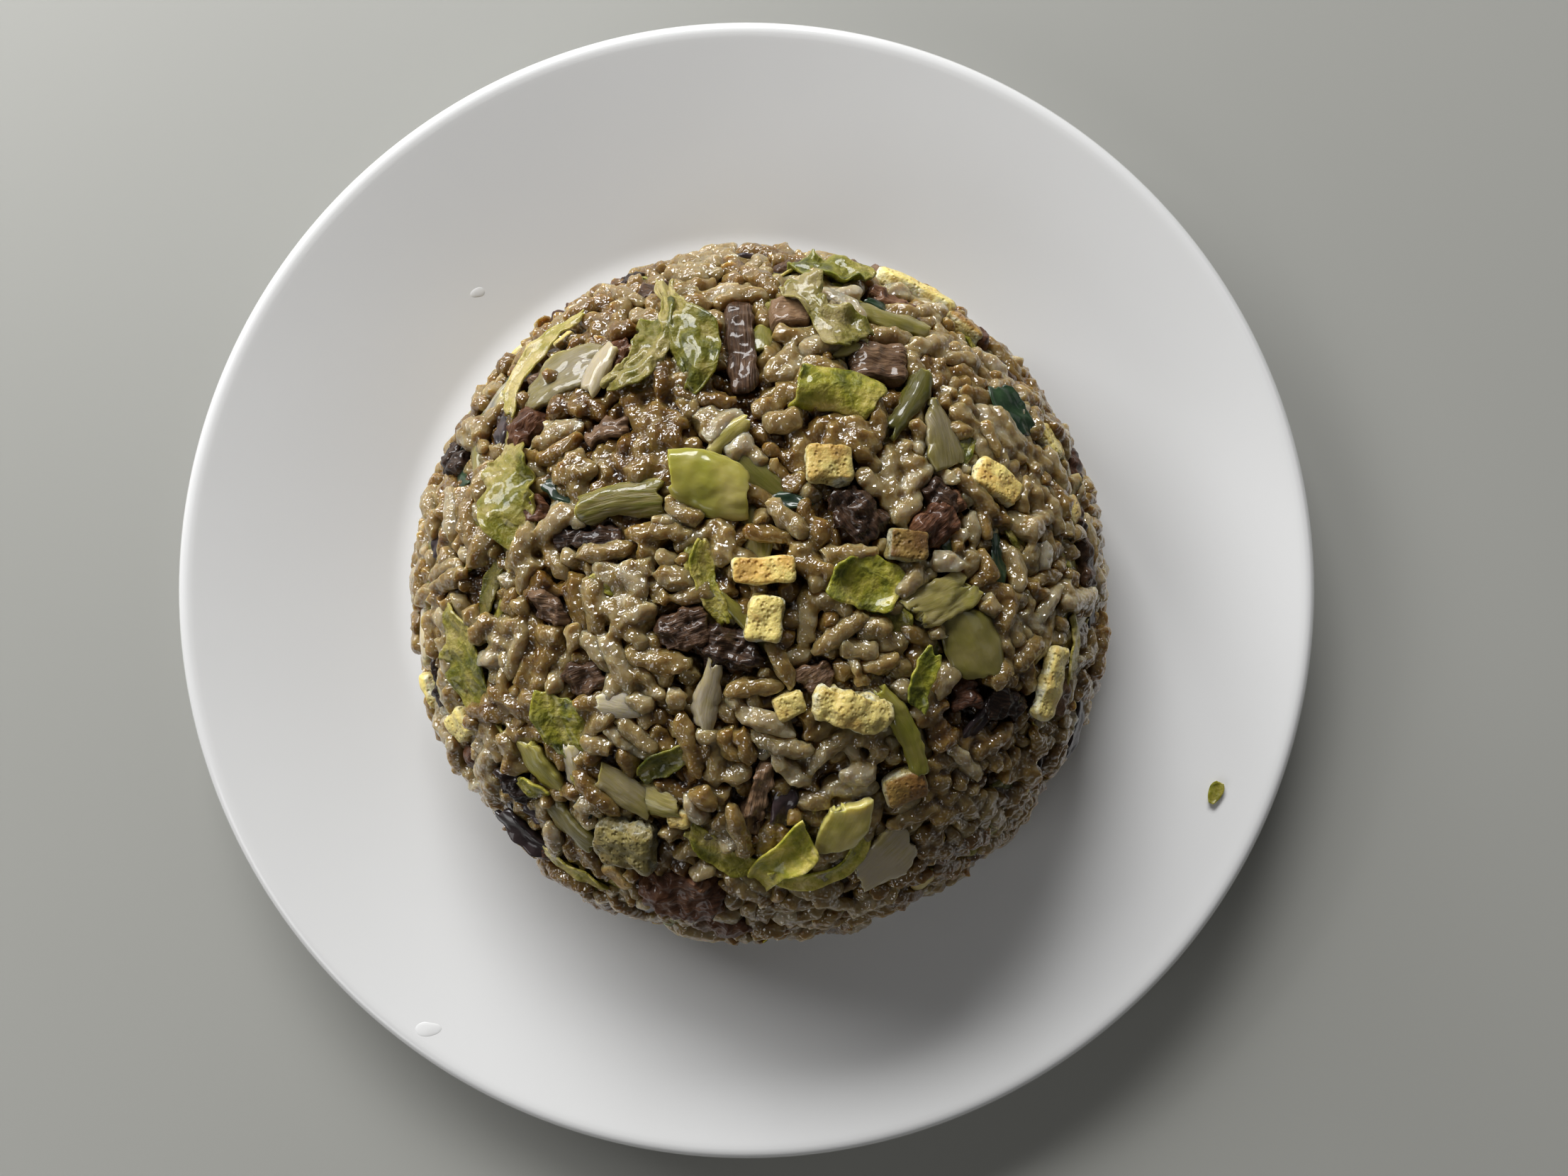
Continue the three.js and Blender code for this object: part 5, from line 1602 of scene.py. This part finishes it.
grain_depth, outward = depth_in_heap(centre)
tone = 0.30 + 0.15 * field(centre, 15, 3) + 0.22 * field(centre, 6, 4) + random.normal(0, 0.1, count)
for x, y, reach_of_tone, strength in TONED_PLACES:
    far = np.hypot(centre[:, 0] + HEAP_FOOT[0] - x, centre[:, 1] + HEAP_FOOT[1] - y) / reach_of_tone
    tone += strength * np.exp(-(far**2))
# Painted shade, partly sauce: grains that lie deeper are made darker.
tone += 0.25 * np.clip((grain_depth - 2) / RICE_DEPTH, 0, 1)
up = unit(np.cross(ahead, random.normal(size=ahead.shape)))
bend = random.normal(0, 0.5, count)
width = radius * random.uniform(0.85, 1.08, count)


def lay_grains(name, chosen, swell=0.0, sides=8):
    """One mesh of the chosen grains, swollen by some mm."""
    points = new_piece(
        name + "_points",
        centre[chosen] + HEAP_FOOT,
        [],
        rice_finish,
        {
            "ahead": ahead[chosen],
            "up": up[chosen],
            "size": (np.stack([width, radius, half], 1)[chosen] + swell) * MM,
            "bend": bend[chosen] * MM,
            "half": half[chosen] * MM,
            "cut": cut[chosen],
            "tone": tone[chosen],
        },
    )
    return made_by(
        grain_tree,
        points,
        {
            "Sides": sides,
            "Rings": sides,
            "Bluntness": GRAIN_BLUNTNESS,
            "Unevenness": GRAIN_UNEVENNESS * MM,
            "Lump size": GRAIN_LUMP_SIZE * MM,
            "Material": rice_finish,
        },
        name,
    )


def mesh_arrays(piece):
    """A piece's points in mm and its faces as lists of point numbers; the piece is removed."""
    mesh = piece.data
    verts = np.empty(len(mesh.vertices) * 3, np.float32)
    mesh.vertices.foreach_get("co", verts)
    corners = np.empty(len(mesh.loops), np.int32)
    mesh.loops.foreach_get("vertex_index", corners)
    starts = np.empty(len(mesh.polygons), np.int32)
    mesh.polygons.foreach_get("loop_start", starts)
    faces = [part.tolist() for part in np.split(corners, starts[1:])]
    bpy.data.objects.remove(piece)
    return verts.reshape(-1, 3).astype(float) / MM, faces


def changed_by(piece, kind, **settings):
    """The piece's mesh as a Remesh or Decimate modifier leaves it; the piece is removed."""
    modifier = piece.modifiers.new(kind.lower(), kind)
    for key, value in settings.items():
        setattr(modifier, key, value)
    graph = bpy.context.evaluated_depsgraph_get()
    mesh = bpy.data.meshes.new_from_object(piece.evaluated_get(graph), depsgraph=graph)
    bpy.data.objects.remove(piece)
    changed = bpy.data.objects.new(kind, mesh)
    bpy.context.scene.collection.objects.link(changed)
    return changed


def softened(verts, faces):
    """Points moved half way to the middle of their neighbours, which fills the seams a little."""
    first = np.array([corner for face in faces for corner in face])
    second = np.array([corner for face in faces for corner in face[1:] + face[:1]])
    links = np.maximum(np.bincount(first, minlength=len(verts)), 1)[:, None]
    near = np.stack([np.bincount(first, verts[second, k], len(verts)) for k in range(3)], 1) / links
    return verts + 0.5 * (near - verts)


def search_tree(points):
    """A tree that finds the nearest of the points by their numbers."""
    tree = kdtree.KDTree(len(points))
    for k, point in enumerate(points):
        tree.insert(point, k)
    tree.balance()
    return tree


def nearest_grain(points, chosen):
    """What rice a point belongs to: its grain's number, how far off that is, and its seam.

    The seam is 1 midway between two of the chosen grains and 0 away from there.
    """
    owners = np.repeat(np.flatnonzero(chosen), BALLS)
    reach = np.linspace(-1, 1, BALLS) * (half - radius * FIRM_SHARE)[:, None]
    balls = (centre[:, None] + ahead[:, None] * reach[..., None])[chosen].reshape(-1, 3) + HEAP_FOOT
    tree = search_tree(balls)
    own = np.empty(len(points), int)
    far = np.empty(len(points))
    seam = np.zeros(len(points))
    for k, point in enumerate(points):
        found = tree.find_n(point, 5)
        own[k] = owners[found[0][1]]
        far[k] = found[0][2]
        for _, ball, distance in found[1:]:
            if owners[ball] != own[k]:
                seam[k] = max(0.0, 1 - (distance - far[k]) / SEAM_WIDTH)
                break
    return own, far, seam


def drawn_in(verts, faces, depth):
    """The points of a mesh of four-sided faces moved inwards, and the ways that they face."""
    quads = np.array(faces)
    a, b, c, d = (verts[quads[:, k]] for k in range(4))
    facing = np.cross(c - a, d - b)
    outward = np.zeros_like(verts)
    for k in range(4):
        for axis in range(3):
            outward[:, axis] += np.bincount(quads[:, k], facing[:, axis], len(verts))
    outward = unit(outward)
    return verts - depth * outward, outward


def lay_clumps(name, chosen, *under):
    """One piece of rice whose chosen grains have grown together, with what lies under them."""
    parts = [mesh_arrays(lay_grains(name, chosen, swell=CLING)), *under]
    verts, faces, _ = joined([(verts, faces, {}) for verts, faces in parts])
    lump = new_piece("lump", verts, faces, rice_finish)
    skin = changed_by(lump, "REMESH", mode="VOXEL", voxel_size=SKIN_VOXEL * MM)
    verts, faces = mesh_arrays(skin)
    verts, ways = drawn_in(verts, faces, CLING / 2)
    verts = softened(verts, faces)
    verts = verts + [RAGGED * np.array(noise.noise_vector(Vector(point) / RAG_SIZE)) for point in verts]
    skin = new_piece("skin", verts, faces, rice_finish)
    depth, normal = depth_in_heap(verts - HEAP_FOOT)
    hidden = (depth > HIDDEN_DEPTH + hollow_depth(verts - HEAP_FOOT)) | ((ways * normal).sum(1) < -0.35)
    group = skin.vertex_groups.new(name="hidden")
    group.add(np.flatnonzero(hidden).tolist(), 1.0, "REPLACE")
    group.add(np.flatnonzero(~hidden).tolist(), 0.6, "REPLACE")
    triangles = sum(len(face) - 2 for face in faces)
    skin = changed_by(
        skin, "DECIMATE", ratio=min(1, SKIN_TRIANGLES / triangles), vertex_group=group.name,
        vertex_group_factor=HIDDEN_THINNING,
    )
    verts, faces = mesh_arrays(skin)
    own, far, seam = nearest_grain(verts, chosen)
    # Painted shade, partly sauce: the skin is made darker near the seams between grains, the deeper it lies
    # under the heap's skin, and where it lies away from every grain, down in the gaps.
    low = depth_in_heap(verts - HEAP_FOOT)[0] - 0.9 + heap_waves(verts - HEAP_FOOT)
    rice_tone = tone[own] + 0.26 * seam + 0.7 * np.clip(low / 2.8, 0, 1)
    rice_tone += 0.3 * np.clip((far - radius[own] - 0.5) / 2, 0, 1)
    add_piece(name, (verts, faces, {"tone": rice_tone}), rice_finish, "rice", "rice_heap")


def hides_food(points, depths):
    """Which grains, by their middles and depths, lie right over a piece of food and would hide it."""
    food_depth = depth_in_heap(food_balls)[0]
    tree = search_tree(food_balls)
    hides = np.zeros(len(points), bool)
    for k, place in enumerate(points):
        for _, ball, distance in tree.find_range(place, GRAIN_LENGTH / 2):
            above = food_depth[ball] - depths[k]
            aside = math.sqrt(max(distance**2 - above**2, 0))
            if above > 0.6 and aside < 1.6:
                hides[k] = True
    return hides


clear = ~hides_food(centre, grain_depth)
outer = (grain_depth < OUTER_DEPTH) & clear
loose = outer & (grain_depth < LOOSE_DEPTH) & (random.random(count) < LOOSE_SHARE)
lay_clumps("rice_pale_clumps", outer & ~loose & (tone < PALE_TONE))
lay_clumps("rice_browner_clumps", outer & ~loose & (tone >= PALE_TONE))
lay_clumps("rice_heart", ~outer & clear, heart_mesh())
fit(lay_grains("rice_loose_grains", loose, sides=14), "rice_heap")

# ------------------------------------------------------------------------------------------------
# Scrap of leaf on the rim
# A crumb of green leaf that fell on the plate's rim, thin and a little curled.
# ------------------------------------------------------------------------------------------------

CRUMB_PLACE = (85.2, -36.8)
CRUMB_SIZE = (4.2, 2.4)
CRUMB_THICKNESS = 0.4


def on_rim(x, y):
    """A point of the rim's upper face, and the ways round the rim, up its slope and out of it."""
    far = math.hypot(x, y)
    uphill = unit(np.array([x / far, y / far, math.tan(math.radians(RIM_SLOPE))]))
    way = np.array([y, -x, 0]) / far
    return np.array([x, y, rim_level(far)]), way, uphill, np.cross(way, uphill)


def crumb_mesh(rows=12, columns=7):
    """A small torn scrap laid on the rim's slope."""
    place, way, uphill, normal = on_rim(*CRUMB_PLACE)
    u = np.linspace(-1, 1, rows)[:, None] + np.zeros(columns)
    v = np.linspace(-1, 1, columns) + np.zeros((rows, 1))
    wide = CRUMB_SIZE[1] / 2 * (1 - 0.55 * np.abs(u) ** 2.5) * (1 - 0.25 * u)
    middle = (
        place
        + (u * CRUMB_SIZE[0] / 2)[..., None] * way
        + (v * wide)[..., None] * uphill
        + (0.45 + 0.3 * u * u + 0.25 * v * v)[..., None] * normal
    )
    half = CRUMB_THICKNESS / 2 * normal
    verts = np.stack([middle + half, middle - half]).reshape(-1, 3)
    both = lambda grid: np.tile(grid.ravel(), 2)
    return verts, shell_faces(rows, columns), {"along": both(u), "across": both(v)}


add_piece(
    "leaf_crumb_on_rim", crumb_mesh(), leaf_finish, "leaf", "leaf_crumb_on_rim",
    fresh=0.7, shade=1.0, ribbed=0.0,
)

# ------------------------------------------------------------------------------------------------
# Drops on the plate
# A few drops of clear water that stayed on the glaze after the plate was rinsed. They are low and
# rounded, and the white glaze shows through them.
# ------------------------------------------------------------------------------------------------

# Each drop's place, length, width and turn.
DROPS = [
    ((-57.6, -79.3), 4.4, 2.8, 40),
    ((-50.4, 55.6), 2.8, 2.0, -10),
    ((81.4, -57.0), 1.2, 0.9, 20),
    ((79.5, -59.5), 1.1, 0.8, 70),
]
DROP_RISE = 0.07  # a drop's height as a share of its width
DROP_SUNK = 0.05  # its edge lies under the glaze, so that none of it stands off the rim


def drop_mesh(at, length, width, turn, around=36, rings=10):
    """A low rounded drop on the slope of the rim: its points and faces."""
    place, way, uphill, normal = on_rim(*at)
    angle = np.linspace(0, 2 * np.pi, around, endpoint=False)
    wavy = 1 + 0.12 * np.sin(2 * angle + turn) + 0.06 * np.sin(3 * angle + 2 * turn)
    lean = math.radians(turn)
    verts = []
    for level in np.linspace(0, 1, rings):
        reach = math.cos(level * math.pi / 2) if level < 1 else 0.02
        ahead = np.cos(angle) * length / 2 * wavy * reach
        aside = np.sin(angle) * width / 2 * wavy * reach
        rise = DROP_RISE * width * math.sin(level * math.pi / 2) - DROP_SUNK
        across = ahead * math.cos(lean) - aside * math.sin(lean)
        up_slope = ahead * math.sin(lean) + aside * math.cos(lean)
        verts.append(across[:, None] * way + up_slope[:, None] * uphill + rise * normal)
    peak = (DROP_RISE * width - DROP_SUNK) * normal
    verts = np.concatenate([*verts, [peak, -DROP_SUNK * normal]]) + place
    faces = []
    for ring in range(rings - 1):
        for k in range(around):
            here, there = ring * around + k, ring * around + (k + 1) % around
            faces.append((here, there, there + around, here + around))
    top, bottom = len(verts) - 2, len(verts) - 1
    last = (rings - 1) * around
    faces += [(last + k, last + (k + 1) % around, top) for k in range(around)]
    faces += [((k + 1) % around, k, bottom) for k in range(around)]
    return verts, faces, {}


def water_material():
    """Clear water over white glaze: the glaze's own white, with a sharp shine."""
    material, tree, shader = new_material(
        "water_on_glaze", 0.12, IOR=1.4, Coat_Weight=0.4, Coat_Roughness=0.05
    )
    tree.links.new(
        ramp(tree, object_noise(tree, 300), (0.3, (0.79, 0.79, 0.785)), (0.7, (0.84, 0.84, 0.837))),
        shader.inputs["Base Color"],
    )
    return material


add_piece("water_drops", joined([drop_mesh(*drop) for drop in DROPS]), water_material(), "porcelain")

# ------------------------------------------------------------------------------------------------
# Table, light and camera
# A plain pale table top. The light of a window behind the dish is strongest, with a smaller one on
# its left, and the room sends a little back from the front left and the right. The camera looks
# straight down from just above the dish.
# ------------------------------------------------------------------------------------------------

TABLE_COLOUR = (0.40, 0.40, 0.372)
TABLE_REACH = 4000


def table_material():
    """Plain, pale and matt, with a faint unevenness."""
    material, tree, shader = new_material("pale_table", 0.55)
    darker = tuple(0.97 * c for c in TABLE_COLOUR)
    colour = ramp(tree, object_noise(tree, 6, 3), (0.3, darker), (0.7, TABLE_COLOUR))
    tree.links.new(colour, shader.inputs["Base Color"])
    return material


table_corners = [(x * TABLE_REACH, y * TABLE_REACH, 0) for x, y in ((-1, -1), (1, -1), (1, 1), (-1, 1))]
table = new_piece("table_top", table_corners, [(0, 1, 2, 3)], table_material())


def window_light(name, plan, elevation, distance, size, power):
    """A soft light that faces the dish, from a direction in plan and an elevation in degrees."""
    light = bpy.data.lights.new(name, "AREA")
    light.shape = "RECTANGLE"
    light.size, light.size_y = size
    light.energy = power
    way = Vector((*unit(np.array(plan, float)), math.tan(math.radians(elevation)))).normalized()
    lamp = bpy.data.objects.new(name, light)
    lamp.location = way * distance
    lamp.rotation_euler = way.to_track_quat("Z", "Y").to_euler()
    bpy.context.scene.collection.objects.link(lamp)


window_light("window", (-24, 97), 31, 1.5, (0.9, 0.45), 23)
window_light("side_window", (-78, 63), 26, 0.9, (0.42, 0.27), 4.4)
window_light("room_fill", (-80, -60), 33, 1.5, (0.8, 0.6), 3.3)
window_light("wall_fill", (94, 34), 35, 1.5, (0.8, 0.6), 0.8)

ROOM_COLOUR = (0.9, 0.9, 0.88, 1)
ROOM_STRENGTH = 0.06

world = bpy.data.worlds.new("room")
bpy.context.scene.world = world
world.use_nodes = True
background = world.node_tree.nodes["Background"]
background.inputs["Color"].default_value = ROOM_COLOUR
background.inputs["Strength"].default_value = ROOM_STRENGTH

CAMERA_PLACE = (6.75, 0.44, 227.6)
LENS = 27.03

camera_data = bpy.data.cameras.new("camera")
camera_data.sensor_width = 36
camera_data.lens = LENS
camera_data.clip_start = 0.01
camera = bpy.data.objects.new("camera", camera_data)
camera.location = [c * MM for c in CAMERA_PLACE]
bpy.context.scene.collection.objects.link(camera)
bpy.context.scene.camera = camera
bpy.context.scene.view_settings.view_transform = "Standard"
